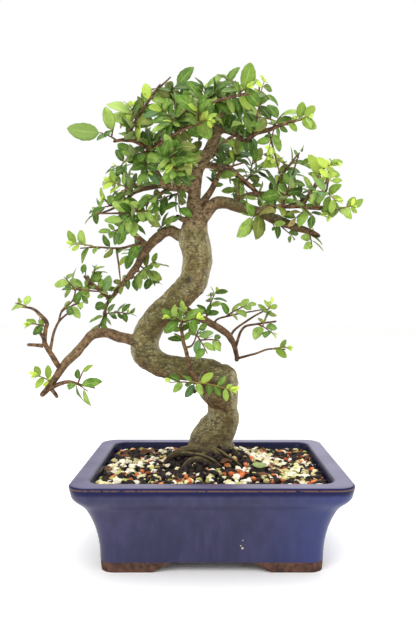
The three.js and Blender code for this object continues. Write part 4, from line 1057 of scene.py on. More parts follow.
@dataclass
class Pot:
    """The glazed pot: flared walls with a rolled lip, four feet between slots, and two drain holes."""

    rim_length: float = 250.0
    rim_width: float = 195.0
    rim_corner: float = 17.0
    corner_tightens: float = 0.2
    foot_height: float = 9.0
    floor: float = 18.0
    feet_apart: tuple[Span, Span] = ((55.0, 36.0), (42.0, 27.0))
    drain_radius: float = 9.0
    drain_x: float = 46.0
    drain_sides: int = 32
    cut_below: float = 1.0
    cut_reach: float = 200.0
    worn_edge: float = 0.9
    worn_over: float = 48.0
    sharp_over: float = 40.0
    corner_steps: int = 12
    side_steps: int = 14
    outer: Rows = (
        (0, 25.2), (4, 24.8), (9, 24.5), (9.9, 24.3), (16, 24.1), (21.7, 23.7), (27.3, 22.9), (33, 21.8),
        (39, 20.3), (45, 18.4), (51, 16), (55.2, 14), (57.3, 12.8), (59.4, 11.5), (61.8, 9.3), (64.4, 6.7),
        (66.8, 4.4), (69, 2.8), (71, 1.9), (72.8, 1.5), (76.5, 0.7), (79.5, 0.1), (80.7, 0.2), (81.5, 0.7),
        (81.95, 1.6),
    )
    inner: Rows = (
        (82, 4), (82, 9), (81.85, 14.8), (81.2, 16.2), (80, 16.9), (75, 18.2), (61, 21), (42, 28.5),
        (22, 32.5), (18.4, 34.5),
    )

    def outline(self, inset: float, height: float) -> np.ndarray:
        """The pot's rounded rectangle.

        Args:
            inset: How far in from the rim's edge it lies.
            height: How high.

        Returns:
            Its points, the same number on each outline.
        """
        radius = self.rim_corner - self.corner_tightens * inset
        long = self.rim_length / 2 - inset - radius
        wide = self.rim_width / 2 - inset - radius

        def arc(corner: int, quarters: float) -> np.ndarray:
            """The point of a corner's arc at a turn, in quarter circles."""
            side, end = ((1, 1), (-1, 1), (-1, -1), (1, -1))[corner % 4]
            angle = math.pi / 2 * quarters
            x, y = side * long + radius * math.cos(angle), end * wide + radius * math.sin(angle)
            return np.array([x, y, height])

        points, steps = [], self.corner_steps
        for corner in range(4):
            points += [arc(corner, corner + step / steps) for step in range(steps + 1)]
            start, run = points[-1], arc(corner + 1, corner + 1) - points[-1]
            points += [start + run * share for share in np.linspace(0, 1, self.side_steps + 1)[1:-1]]
        return np.array(points)

    def filling(self, height: float, gap: float) -> np.ndarray:
        """The outline at a height of what fills the pot, with a gap to its inner wall."""
        inner = np.array(self.inner)[::-1]
        return self.outline(float(np.interp(height, inner[:, 0], inner[:, 1])) + gap, height)

    def _slots(self) -> list[Object]:
        """The blocks between the feet, wider where they meet the ground."""
        cutters = []
        for axis, (ground, body) in enumerate(self.feet_apart):
            low, high = -self.cut_below, self.foot_height
            section = [(-ground, low), (ground, low), (body, high), (-body, high)]
            ends = (-self.cut_reach, self.cut_reach)
            corners = np.array([(side, end, height) for end in ends for side, height in section])
            faces = [[0, 1, 2, 3], [7, 6, 5, 4]]
            faces += [[i, i + 4, (i + 1) % 4 + 4, (i + 1) % 4] for i in range(4)]
            if axis == 1:
                corners = corners[:, [1, 0, 2]]
                faces = [face[::-1] for face in faces]
            cutters.append(solid(f"slot_{axis}", corners, faces))
        return cutters

    def _drains(self) -> list[Object]:
        """The bores of the drain holes, from under the pot to over its floor."""
        cutters = []
        for number, x in enumerate((-self.drain_x, self.drain_x)):
            centres = np.array([(x, 0.0, -2.0), (x, 0.0, self.floor + 3.0)])
            bore = tube(centres, np.full(2, self.drain_radius), self.drain_sides)
            cutters.append(solid(f"bore_{number}", *bore))
        return cutters

    def build(self, material: Material) -> None:
        """Makes the pot and dresses it.

        Args:
            material: Its glaze.
        """
        rings = [self.outline(inset, height) for height, inset in (*self.outer, *self.inner)]
        around, count = len(rings[0]), len(rings[0]) * len(rings)
        faces = lattice(len(rings), around)
        faces.append(list(range(around))[::-1])
        faces.append(list(range(count - around, count)))
        pot = solid("glazed_pot", np.vstack(rings), faces)
        cutters = self._slots() + self._drains()
        for cutter in cutters:
            modify(pot, "BOOLEAN", operation="DIFFERENCE", solver="EXACT", object=cutter)
        apply_modifiers(pot)
        for cutter in cutters:
            bpy.data.objects.remove(cutter)
        turn = math.radians(self.worn_over)
        modify(pot, "BEVEL", width=self.worn_edge * MM, segments=2, limit_method="ANGLE", angle_limit=turn)
        apply_modifiers(pot)
        smooth(pot, self.sharp_over)
        dress(pot, material, "pot_glaze", "pot")


@dataclass
class Soil:
    """The mounded soil, with the grains, bark bits and crumbs that lie on it."""

    edge: float = 74.5
    mound_x: float = 0.0
    mound_y: float = -5.0
    mound_height: float = 23.0
    mound_spread: float = 45.0
    wall_gap: float = 0.5
    rings: int = 56
    depth: float = 30.0
    under_grains: float = 1.2
    lump_size: float = 7.0
    lump_height: float = 1.7
    crumbs_finer: float = 3.1
    crumb_height: float = 0.9
    seed: int = 7
    grains: int = 2650
    pebbles: int = 24
    pebble_radii: Span = (0.7, 1.2)
    wall_margin: float = 2.4
    corner: float = 13.5
    corner_reach: float = 11.2
    leaf_oval: tuple[float, ...] = (46, -28, 12, 8)
    flatness: Span = (0.62, 0.95)
    lengths: Span = (1, 1.3)
    chip_flatness: float = 0.45
    chip_length: float = 1.7
    tilt: float = 0.6
    sunk: Span = (-1.2, 0.4)
    sharp_over: float = 35.0
    bit_lift: float = 3.0
    rusty_chance: float = 0.15
    rusty_sizes: Span = (3, 6.6)
    earth_chance: float = 0.9
    earth_sizes: Span = (2.4, 7)
    pale_chance: float = 0.7
    pumice_chance: float = 0.42
    pale_sizes: Span = (3.6, 8.2)
    pale_pull: float = 1.3
    dark_pull: float = 1.6
    pale_over: float = 0.15
    dark_under: float = -0.2
    speck_size: float = 2.0
    # Patches from above: x, y and radius
    pale_patches: Rows = (
        (42, 30, 26), (58, 6, 22), (-88, -4, 24), (-66, 12, 12), (-96, -56, 14),
        (22, -68, 14), (82, -30, 14), (30, 66, 14), (-20, 62, 12),
    )
    dark_patches: Rows = (
        (-24, -22, 30), (12, -21, 23), (86, 44, 18), (-84, 52, 20), (60, -66, 12),
    )
    rusty_patches: Rows = (
        (26, -44, 18), (-80, -40, 16), (100, -52, 14), (92, 30, 16), (-20, -66, 14),
    )
    # Everywhere else: each stone's share, then its least and its largest size
    shares: tuple[tuple[Stone, float, float, float], ...] = (
        (Stone.PUMICE, 0.1, 3.2, 8.0), (Stone.CREAM, 0.12, 3.2, 7.8), (Stone.CLAY, 0.11, 2.8, 6.8),
        (Stone.TAN, 0.08, 2.6, 6.4), (Stone.OLIVE, 0.07, 3.4, 8.0), (Stone.CHIP, 0.07, 2.8, 7.6),
        (Stone.EARTH, 0.45, 2.8, 8.6),
    )
    # Dry leaves from above: x, y, length and the way that they point, in radians
    dry_bits: Rows = (
        (-78, 42, 17, 0.4), (-62, 50, 13, 2.1), (-103, -26, 15, 1.2), (-86, 30, 12, 2.8),
        (-98, 48, 12, 0.2), (8, -40, 13, 0.5), (60, 58, 12, 1.9), (20, 72, 15, 2.6),
        (98, 20, 11, 0.9), (-30, -66, 11, 1.5),
    )

    def height(self, x: np.ndarray | float, y: np.ndarray | float) -> np.ndarray | float:
        """The height of the smooth mound at places seen from above."""
        away = ((x - self.mound_x) ** 2 + (y - self.mound_y) ** 2) / self.mound_spread**2
        return self.edge + self.mound_height * np.exp(-away)

    def _bed(self, pot: Pot) -> Object:
        """The earth's crumbly top and its sides, as one body."""
        rim = pot.filling(self.edge, self.wall_gap)
        shares = np.linspace(0.0, 1.0, self.rings + 1)[1:]
        top = np.vstack([np.zeros((1, 3))] + [rim * np.array([share, share, 1.0]) for share in shares])
        top[:, 2] = self.height(top[:, 0], top[:, 1]) - self.under_grains
        for point in top:
            at = Vector(point / self.lump_size)
            lump, crumb = noise.noise(at), noise.noise(at * self.crumbs_finer)
            point[2] += self.lump_height * lump + self.crumb_height * crumb
        around, count = len(rim), len(top)
        faces = [[0, 1 + i, 1 + (i + 1) % around] for i in range(around)]
        faces += [[i + 1 for i in face] for face in lattice(len(shares), around)]
        start = count - around
        for i in range(around):
            j = (i + 1) % around
            faces.append([start + j, count + j, count + i, start + i])
        faces.append([count + i for i in range(around)][::-1])
        below = pot.filling(self.edge - self.depth, self.wall_gap)
        return solid("earth", np.vstack([top, below]), faces)

    def _kind(self, x: float, y: float, draw: Generator) -> tuple[Stone, float]:
        """What lies at a place: the stone and its size, paler and larger in the pale patches."""
        pale, dark = nearness(x, y, self.pale_patches), nearness(x, y, self.dark_patches)
        lean = max(0.0, pale) * self.pale_pull - max(0.0, dark) * self.dark_pull
        chance = draw.random()
        if nearness(x, y, self.rusty_patches) > 0 and draw.random() < self.rusty_chance:
            return Stone.CLAY, draw.uniform(*self.rusty_sizes)
        if lean < self.dark_under and chance < self.earth_chance:
            return Stone.EARTH, draw.uniform(*self.earth_sizes)
        if lean > self.pale_over and chance < self.pale_chance:
            stone = Stone.PUMICE if chance < self.pumice_chance else Stone.CREAM
            return stone, draw.uniform(*self.pale_sizes)
        chance = draw.random()
        for stone, share, least, most in self.shares:
            chance -= share
            if chance < 0:
                return stone, draw.uniform(least, most)
        return Stone.EARTH, self.speck_size

    def build(self, pot: Pot, tree: "Tree") -> None:
        """Makes the earth and all grains, and dresses them.

        Args:
            pot: The pot that holds the soil.
            tree: The tree that stands in it.
        """
        dress(self._bed(pot), Humus().build(), "soil", "soil")
        heaps = {stone: Gathered() for stone in Stone}
        self._strew(heaps, pot, tree)
        self._lay_dry_bits(heaps[Stone.CHIP])
        for stone, heap in heaps.items():
            dress(heap.build(stone.value[0], self.sharp_over), stone.build(), "soil", "soil")

    def _strew(self, heaps: Mapping[Stone, Gathered], pot: Pot, tree: "Tree") -> None:
        """Strews the grains, but not past the pot's corners, under the fallen leaf or on the roots."""
        draw = default_rng(self.seed)
        half = np.abs(pot.filling(self.edge, self.wall_gap)[:, :2]).max(0)
        shapes = [self._pebble(draw) for _ in range(self.pebbles)]
        faces = shapes[0][1]
        for _ in range(self.grains):
            x, y = (draw.uniform(-reach, reach) for reach in half - self.wall_margin)
            past = np.maximum(np.abs([x, y]) - half + self.corner, 0.0)
            if math.hypot(*past) > self.corner_reach or within(x, y, self.leaf_oval) or tree.covers(x, y):
                continue
            stone, size = self._kind(x, y, draw)
            chip = stone is Stone.CHIP
            flat = self.chip_flatness if chip else draw.uniform(*self.flatness)
            long = self.chip_length if chip else draw.uniform(*self.lengths)
            turn = np.array(Matrix.Rotation(draw.uniform(0, 2 * math.pi), 3, "Z"))
            turn = turn @ np.array(Matrix.Rotation(draw.uniform(-self.tilt, self.tilt), 3, "X"))
            grain = shapes[int(draw.integers(len(shapes)))][0] * (size / 2) * np.array([long, 1.0, flat])
            z = self.height(x, y) + draw.uniform(*self.sunk) + size * 0.1
            tone = draw.random()
            heaps[stone].add(grain @ turn.T + np.array([x, y, z]), faces, grain=(tone, tone, tone))

    def _lay_dry_bits(self, chips: Gathered) -> None:
        """Lays the dry leaves among the bark chips."""
        for x, y, length, way in self.dry_bits:
            base = np.array([x, y, self.height(x, y) + self.bit_lift])
            along = unit(np.array([math.cos(way), math.sin(way), 0.12]))
            face = unit(np.array([0.3 * math.sin(way), -0.35, 1.0]))
            leaf = Leaf(base, along, square_on(face, along), length, length * 0.5)
            husk = Gathered()
            LeafShape(curl=0.16, fold=0.5).add(husk, leaf, 0.5, 0.0, way)
            chips.add(husk.points[0], husk.faces, grain=(0.3 + way / 5, 0.0, 0.0))

    def _pebble(self, draw: Generator) -> tuple[np.ndarray, list[list[int]]]:
        """One rough grain, about 1 in radius: a ball of twenty faces with its corners pushed about."""
        ball = bmesh.new()
        bmesh.ops.create_icosphere(ball, subdivisions=1, radius=1.0)
        radii = draw.uniform(*self.pebble_radii, (len(ball.verts), 1))
        points = np.array([vert.co[:] for vert in ball.verts]) * radii
        faces = [[vert.index for vert in face.verts] for face in ball.faces]
        ball.free()
        return points, faces


@dataclass
class Tree:
    """Trunk, surface roots and branches: one living piece of wood."""

    voxel: float = 1.25
    heal_rounds: int = 5
    thick_from: float = 7.5
    span_steps: int = 4
    twig_from: float = 10.0
    twig_power: float = 1.3
    trunk_sides: int = 24
    limb_sides: int = 18
    root_sides: int = 14
    branch_sides: int = 12
    twig_sides: int = 8
    branch_from: float = 3.5
    foot_x: float = 1.0
    foot_y: float = 8.0
    foot_radius: float = 20.0
    foot_flatness: float = 0.95
    fine_root_clear: float = 4.6
    gnarl_size: float = 9.0
    swelling: float = 0.1
    bend: float = 0.32
    bend_most: float = 2.5
    bends_under: float = 6.0
    neighbours: int = 14
    full_ridges_from: float = 13.0
    root_top: float = 102.0
    root_blend: float = 14.0
    wound: Drawn = (-17.0, 350.0, -6.0)
    wound_size: float = 4.0
    bare_radii: Span = (1.2, 0.7)
    front_radii: Span = (1.3, 0.8)
    fine_root_radii: Span = (2.5, 1.2)
    # The bark's ridges: how wide and how high
    ridges: Rows = ((11.0, 0.9), (5.0, 0.55), (2.6, 0.28))
    # Knots and hollows: a place as drawn, its radius and how far it stands out
    knots: Rows = (
        (20, 115, -14, 5, -2.4), (14.6, 133.5, -13, 4, 1.8), (-17, 350, -6, 6, 1.6),
        (3, 146, -20, 7, 1.2), (-58, 190, -6, 6, 1.4), (-24, 262, -12, 5, -1.2),
        (-10, 300, -15, 6, 1.3), (-64, 205, -7, 5, -1),
    )
    # Bare twigs: x and z where each leaves its branch, x and z of its tip, and its depth
    bare_twigs: Rows = (
        (-78, 417.5, -51.5, 459, -38), (-37, 438, -41, 466.3, -38),
        (-75, 400, -97.6, 403, -42), (-88, 340, -116, 329.6, -22),
        (70.5, 366, 88, 390.5, -34), (92, 342, 114.5, 379, -38),
        (109, 347, 116.5, 366, -40), (102, 335.4, 135, 335, -42),
        (59, 389, 69.5, 367, -38), (25, 343, 28, 362, -26),
        (-95, 282, -91.3, 263, -10), (-126.4, 267, -112, 251.4, -14),
        (-173, 210.6, -167, 198, -36), (-148.7, 241, -150, 231, -24),
    )
    front_twigs: tuple[Limb, ...] = (
        ((-12, 420, -56), (-1, 439.4, -62), (19, 446, -64), (39, 449.7, -62)),
        ((4, 373, -5), (6.6, 377.6, -30), (17.5, 375.4, -48), (29, 367, -56),
         (42.4, 354.8, -58)),
        ((9, 372, -5), (20, 377, -40), (32.6, 380.8, -54)),
        ((46, 412, -24), (45.7, 427.4, -50), (50, 441.5, -58)),
        ((-59, 391, -22), (-53, 398, -52), (-31, 412, -66), (-10, 420, -68)),
    )
    fine_roots: tuple[Limb, ...] = (
        ((-15, 92, -12), (-5, 95, -18), (6, 92, -21), (14, 87, -26),
         (23, 81.5, -31), (29, 76.5, -34)),
        ((-30, 88, -22), (-20, 87.5, -29), (-9, 86, -33), (2, 81.5, -37),
         (9, 76, -40)),
    )
    lines: list[np.ndarray] = field(default_factory=list)

    def slimmed(self, diameter: float) -> float:
        """A limb's thickness: twigs are slimmer than drawn, because their buds were drawn with them."""
        if diameter >= self.twig_from:
            return diameter
        return self.twig_from * (diameter / self.twig_from) ** self.twig_power

    def line(self, points: Limb) -> np.ndarray:
        """A limb's smooth middle line: a place and a radius in each row."""
        rows = np.array([[*drawn(*point[:3]), self.slimmed(point[3]) / 2] for point in points])
        line = rounded(rows, self.span_steps)
        line[:, 3] = np.clip(line[:, 3], rows[:, 3].min(), rows[:, 3].max())
        return line

    def covers(self, x: float, y: float) -> bool:
        """Whether the trunk's foot or a fine root lies over a place of the soil."""
        places = (drawn(*point) for root in self.fine_roots for point in root)
        on_root = any(math.hypot(x - place[0], y - place[1]) < self.fine_root_clear for place in places)
        away = math.hypot(x - self.foot_x, (y - self.foot_y) * self.foot_flatness)
        return on_root or away < self.foot_radius

    def nearest(self, at: Drawn) -> np.ndarray:
        """The point of the branches' middle lines that is nearest to a drawn place."""
        wanted = drawn(*at)
        best, best_away = wanted, math.inf
        for branch in BRANCHES:
            centres = [drawn(*point[:3]) for point in branch]
            for start, end in zip(centres, centres[1:]):
                run = end - start
                share = min(max((wanted - start).dot(run) / run.dot(run), 0.0), 1.0)
                point = start + run * share
                away = np.linalg.norm(point - wanted)
                if away < best_away:
                    best, best_away = point, away
        return best

    def build(self, material: Material) -> None:
        """Makes the wood and dresses it: the thick wood fused into one skin, the slim wood as round limbs.

        Args:
            material: The bark.
        """
        self.lines = [self.line(points) for points in (TRUNK_FOOT, TRUNK_RISE, *ROOTS, *BRANCHES)]
        thick, slim = Gathered(), Gathered()
        for number, line in enumerate(self.lines):
            self._add_limb(thick, slim, number, line)
        self._add_twigs(slim)
        wood = thick.build("trunk_and_limbs")
        modify(wood, "REMESH", mode="VOXEL", voxel_size=self.voxel * MM)
        modify(wood, "SMOOTH", factor=0.5, iterations=self.heal_rounds)
        apply_modifiers(wood)
        self._carve(wood)
        smooth(wood, None)
        dress(wood, material, "bark", "tree")
        dress(slim.build("branches_and_twigs"), material, "bark", "tree")

    def _add_limb(self, thick: Gathered, slim: Gathered, number: int, line: np.ndarray) -> None:
        """Adds one limb by its number: the trunk and the roots as thick wood, a branch as both."""
        if number < 2:
            thick.add(*tube(line[:, :3], line[:, 3], self.trunk_sides))
            return
        centres, radii = self._gnarled(line, number)
        if number < 2 + len(ROOTS):
            thick.add(*tube(centres, radii, self.root_sides))
            return
        stout = 2 * radii >= self.thick_from
        count = len(stout) if stout.all() else int(np.argmin(stout))
        if count > 3:
            thick.add(*tube(centres[: count + 1], radii[: count + 1], self.limb_sides))
        self._add_slim(slim, centres, radii)

    def _add_twigs(self, slim: Gathered) -> None:
        """Adds the bare twigs, those that show in front of the leaves, and the fine roots."""
        for number, (x, z, tip_x, tip_z, depth) in enumerate(self.bare_twigs):
            start, end = self.nearest((x, z, depth)), drawn(tip_x, tip_z, depth)
            rows = [start + (end - start) * share for share in np.linspace(0.0, 1.0, 9)]
            self._add_slim(slim, *self._gnarled(tapered(rows, self.bare_radii), 60 + number))
        for number, points in enumerate(self.front_twigs):
            rows = [self.nearest(points[0]), *(drawn(*point) for point in points[1:])]
            twig = rounded(tapered(rows, self.front_radii), self.span_steps)
            self._add_slim(slim, *self._gnarled(twig, 90 + number))
        for number, points in enumerate(self.fine_roots):
            rows = [drawn(*point) for point in points]
            root = rounded(tapered(rows, self.fine_root_radii), self.span_steps)
            self._add_slim(slim, *self._gnarled(root, 120 + number), low=1.0)

    def _gnarled(self, line: np.ndarray, seed: int) -> tuple[np.ndarray, np.ndarray]:
        """A limb's middle line and radii with the small swellings and bends of grown wood."""
        shifts = [Vector(shift) for shift in ((0, 0, 0), (9, 0, 0), (0, 9, 0))]
        centres, radii = line[:, :3].copy(), line[:, 3].copy()
        for i, (centre, radius) in enumerate(zip(centres, radii)):
            at = Vector(centre / self.gnarl_size) + Vector((seed * 3.7, 0, 0))
            radii[i] = radius * (1.0 + self.swelling * noise.noise(at * 1.3))
            if 0 < i < len(centres) - 1 and radius < self.bends_under:
                way = np.array([noise.noise(at + shift) for shift in shifts])
                centres[i] = centre + way * min(radius, self.bend_most) * self.bend
        return centres, radii

    def _add_slim(self, slim: Gathered, centres: np.ndarray, radii: np.ndarray, low: float = 0.0) -> None:
        """Adds one limb with a rounded tip, and keeps its thickness at each point; low is 1 for a root."""
        way = unit(centres[-1] - centres[-2])
        caps = np.array([centres[-1] + way * radii[-1] * share for share in (0.5, 0.85)])
        centres = np.vstack([centres, caps])
        radii = np.concatenate([radii, radii[-1] * np.array([0.8, 0.4])])
        sides = self.branch_sides if radii.max() > self.branch_from else self.twig_sides
        points, faces = tube(centres, radii, sides)
        thickness = np.append(np.repeat(2 * radii, sides), [2 * radii[0], 2 * radii[-1]])
        slim.add(points, faces, wood=np.column_stack([thickness, thickness * 0, thickness * 0 + low]))

    def _carve(self, wood: Object) -> None:
        """Raises ridges and knots on the fused wood, and marks how thick it is, where it is scarred, how
        near the soil it is, and the deep hollows that get painted shade.
        """
        places = three_each(wood.data.vertices, "co") / MM - POT_MIDDLE
        normals = three_each(wood.data.vertex_normals, "vector")
        spots = np.vstack(self.lines)
        tree = spot_tree(spots[:, :3])
        marks = np.zeros((len(places), 3), np.float32)
        for i, place in enumerate(places):
            near = [(spots[number][3], away) for _, number, away in tree.find_n(place, self.neighbours)]
            skin = [radius for radius, away in near if abs(away - radius) < 0.3 * radius + 0.8]
            radius = max(skin, default=near[0][0])
            marks[i, 0] = 2 * radius
            at = Vector(place)
            ridge = sum(noise.noise(at / wide) * high for wide, high in self.ridges)
            places[i] += normals[i] * ridge * min(radius / self.full_ridges_from, 1.0)
        for x, z, depth, size, lift in self.knots:
            away = np.linalg.norm(places - drawn(x, z, depth), axis=1) / size
            swell = np.exp(-(away**2))
            places += normals * (swell * lift)[:, None]
            # Deep hollows are marked to be painted dark as shade
            if lift < -1.0:
                marks[:, 2] = np.maximum(marks[:, 2], swell)
        wood.data.vertices.foreach_set("co", ((places + POT_MIDDLE) * MM).astype(np.float32).ravel())
        low = np.clip((self.root_top - places[:, 2]) / self.root_blend, 0.0, 1.0)
        marks[:, 2] = np.maximum(marks[:, 2], low)
        wound = np.linalg.norm(places - drawn(*self.wound), axis=1)
        marks[:, 1] = np.clip(1.6 - wound / self.wound_size, 0.0, 1.0)
        layer = wood.data.attributes.new("wood", "FLOAT_VECTOR", "POINT")
        layer.data.foreach_set("vector", marks.ravel())


@dataclass(frozen=True)
class Leaf:
    """Where a leaf sits on its shoot, which way it points and faces, and how large it is."""

    base: np.ndarray
    along: np.ndarray
    face: np.ndarray
    length: float
    width: float

    def tip(self, arch: float) -> np.ndarray:
        """The leaf's tip, bent back by the arch as a share of its length."""
        return self.base + self.along * self.length - self.face * arch * self.length

    def middle(self) -> np.ndarray:
        """The middle of the leaf's blade."""
        return self.base + self.along * self.length * 0.55


class StemLine:
    """A shoot's middle line: it leaves level with its aim and lifts a little on the way to its tip."""

    def __init__(self, start: np.ndarray, tip: np.ndarray, lift: float) -> None:
        """Bends the line from its start to its tip, with a lift as a share of its length."""
        self.start = start
        self.tip = tip
        self.middle = (start + tip) / 2 + np.array([0, 0, lift * float(np.linalg.norm(tip - start))])

    def at(self, share: float) -> np.ndarray:
        """The place at a share of the way."""
        rest = 1 - share
        return self.start * rest**2 + self.middle * (2 * share * rest) + self.tip * share**2

    def way(self, share: float) -> np.ndarray:
        """The direction at a share of the way."""
        return unit((self.middle - self.start) * (1 - share) + (self.tip - self.middle) * share)


@dataclass
class LeafShape:
    """The fine form of a leaf blade: toothed, folded along its rib, arched to its tip, on a short stalk."""

    arch: float = 0.17
    stations: int = 15
    thickness: float = 0.32
    stalk: float = 0.09
    stalk_half: float = 0.42
    least_half: float = 0.05
    teeth: int = 8
    tooth_depth: float = 0.09
    fold: float = 0.26
    curl: float = 0.05
    edge_thins: float = 0.55
    lanes: tuple[float, ...] = (-1.0, -0.5, 0.0, 0.5, 1.0)

    def spread(self, share: float) -> float:
        """The half width at a share of the length, as a share of the widest."""
        if share <= self.stalk:
            return 0.0
        blade = (share - self.stalk) / (1.0 - self.stalk)
        smooth_width = max(math.sin(math.pi * min(blade, 1.0) ** 0.9), 0.0) ** 0.6
        tooth = (blade * self.teeth) % 1.0
        return smooth_width * (1.0 - self.tooth_depth * tooth)

    def add(self, heap: Gathered, leaf: Leaf, tone: float, youth: float, turn: float) -> None:
        """Adds one leaf.

        Args:
            heap: The mesh that it goes into.
            leaf: Where it is.
            tone: How pale its green is, from 0 to 1.
            youth: How new it is, from 0 to 1.
            turn: A random number that bends its blade in a way of its own.
        """
        across = np.cross(leaf.along, leaf.face)
        shares = np.linspace(0.0, 1.0, self.stations)
        lanes = np.array(self.lanes)
        rib = np.abs(lanes)
        half_width = np.array([self.spread(share) * leaf.width / 2 for share in shares])
        least = np.where(shares <= self.stalk, self.stalk_half, self.least_half)
        half_width = np.maximum(half_width, least)
        wave = np.sin(shares * 9.0 + turn * 6.3) * self.curl * leaf.width
        lift = -self.arch * leaf.length * shares**2
        rows, marks = [], []
        for under, side in ((0.0, 1.0), (1.0, -1.0)):
            plump = side * self.thickness / 2 * (1.0 - self.edge_thins * rib)
            for share, half, bend, wavy in zip(shares, half_width, lift, wave):
                up = bend + self.fold * half * rib**1.4 + wavy * rib**2 * (lanes * 0.5 + 0.5)
                middle = leaf.base + leaf.along * leaf.length * share
                rows.append(middle + np.outer(lanes * half, across) + np.outer(up + plump, leaf.face))
                marks.append(np.column_stack([lanes, lanes * 0 + share, lanes * 0 + under]))
        heap.add(np.vstack(rows), self._faces(), blade=np.vstack(marks), leaf=(tone, youth, 0.0))

    def _faces(self) -> list[list[int]]:
        """The faces of a leaf's upper and lower side, then those of its edge."""
        wide, last = len(self.lanes), self.stations - 1
        low, edge = self.stations * wide, wide - 1
        faces = []
        for layer in (0, low):
            for row in range(last):
                for lane in range(edge):
                    a = layer + row * wide + lane
                    face = [a, a + 1, a + wide + 1, a + wide]
                    faces.append(face[::-1] if layer else face)
        for row in range(last):
            a, b = row * wide, (row + 1) * wide
            faces.append([a, b, low + b, low + a])
            faces.append([a + edge, low + a + edge, low + b + edge, b + edge])
        for lane in range(edge):
            faces.append([lane, low + lane, low + lane + 1, lane + 1])
            end = last * wide + lane
            faces.append([end, end + 1, low + end + 1, low + end])
        return faces


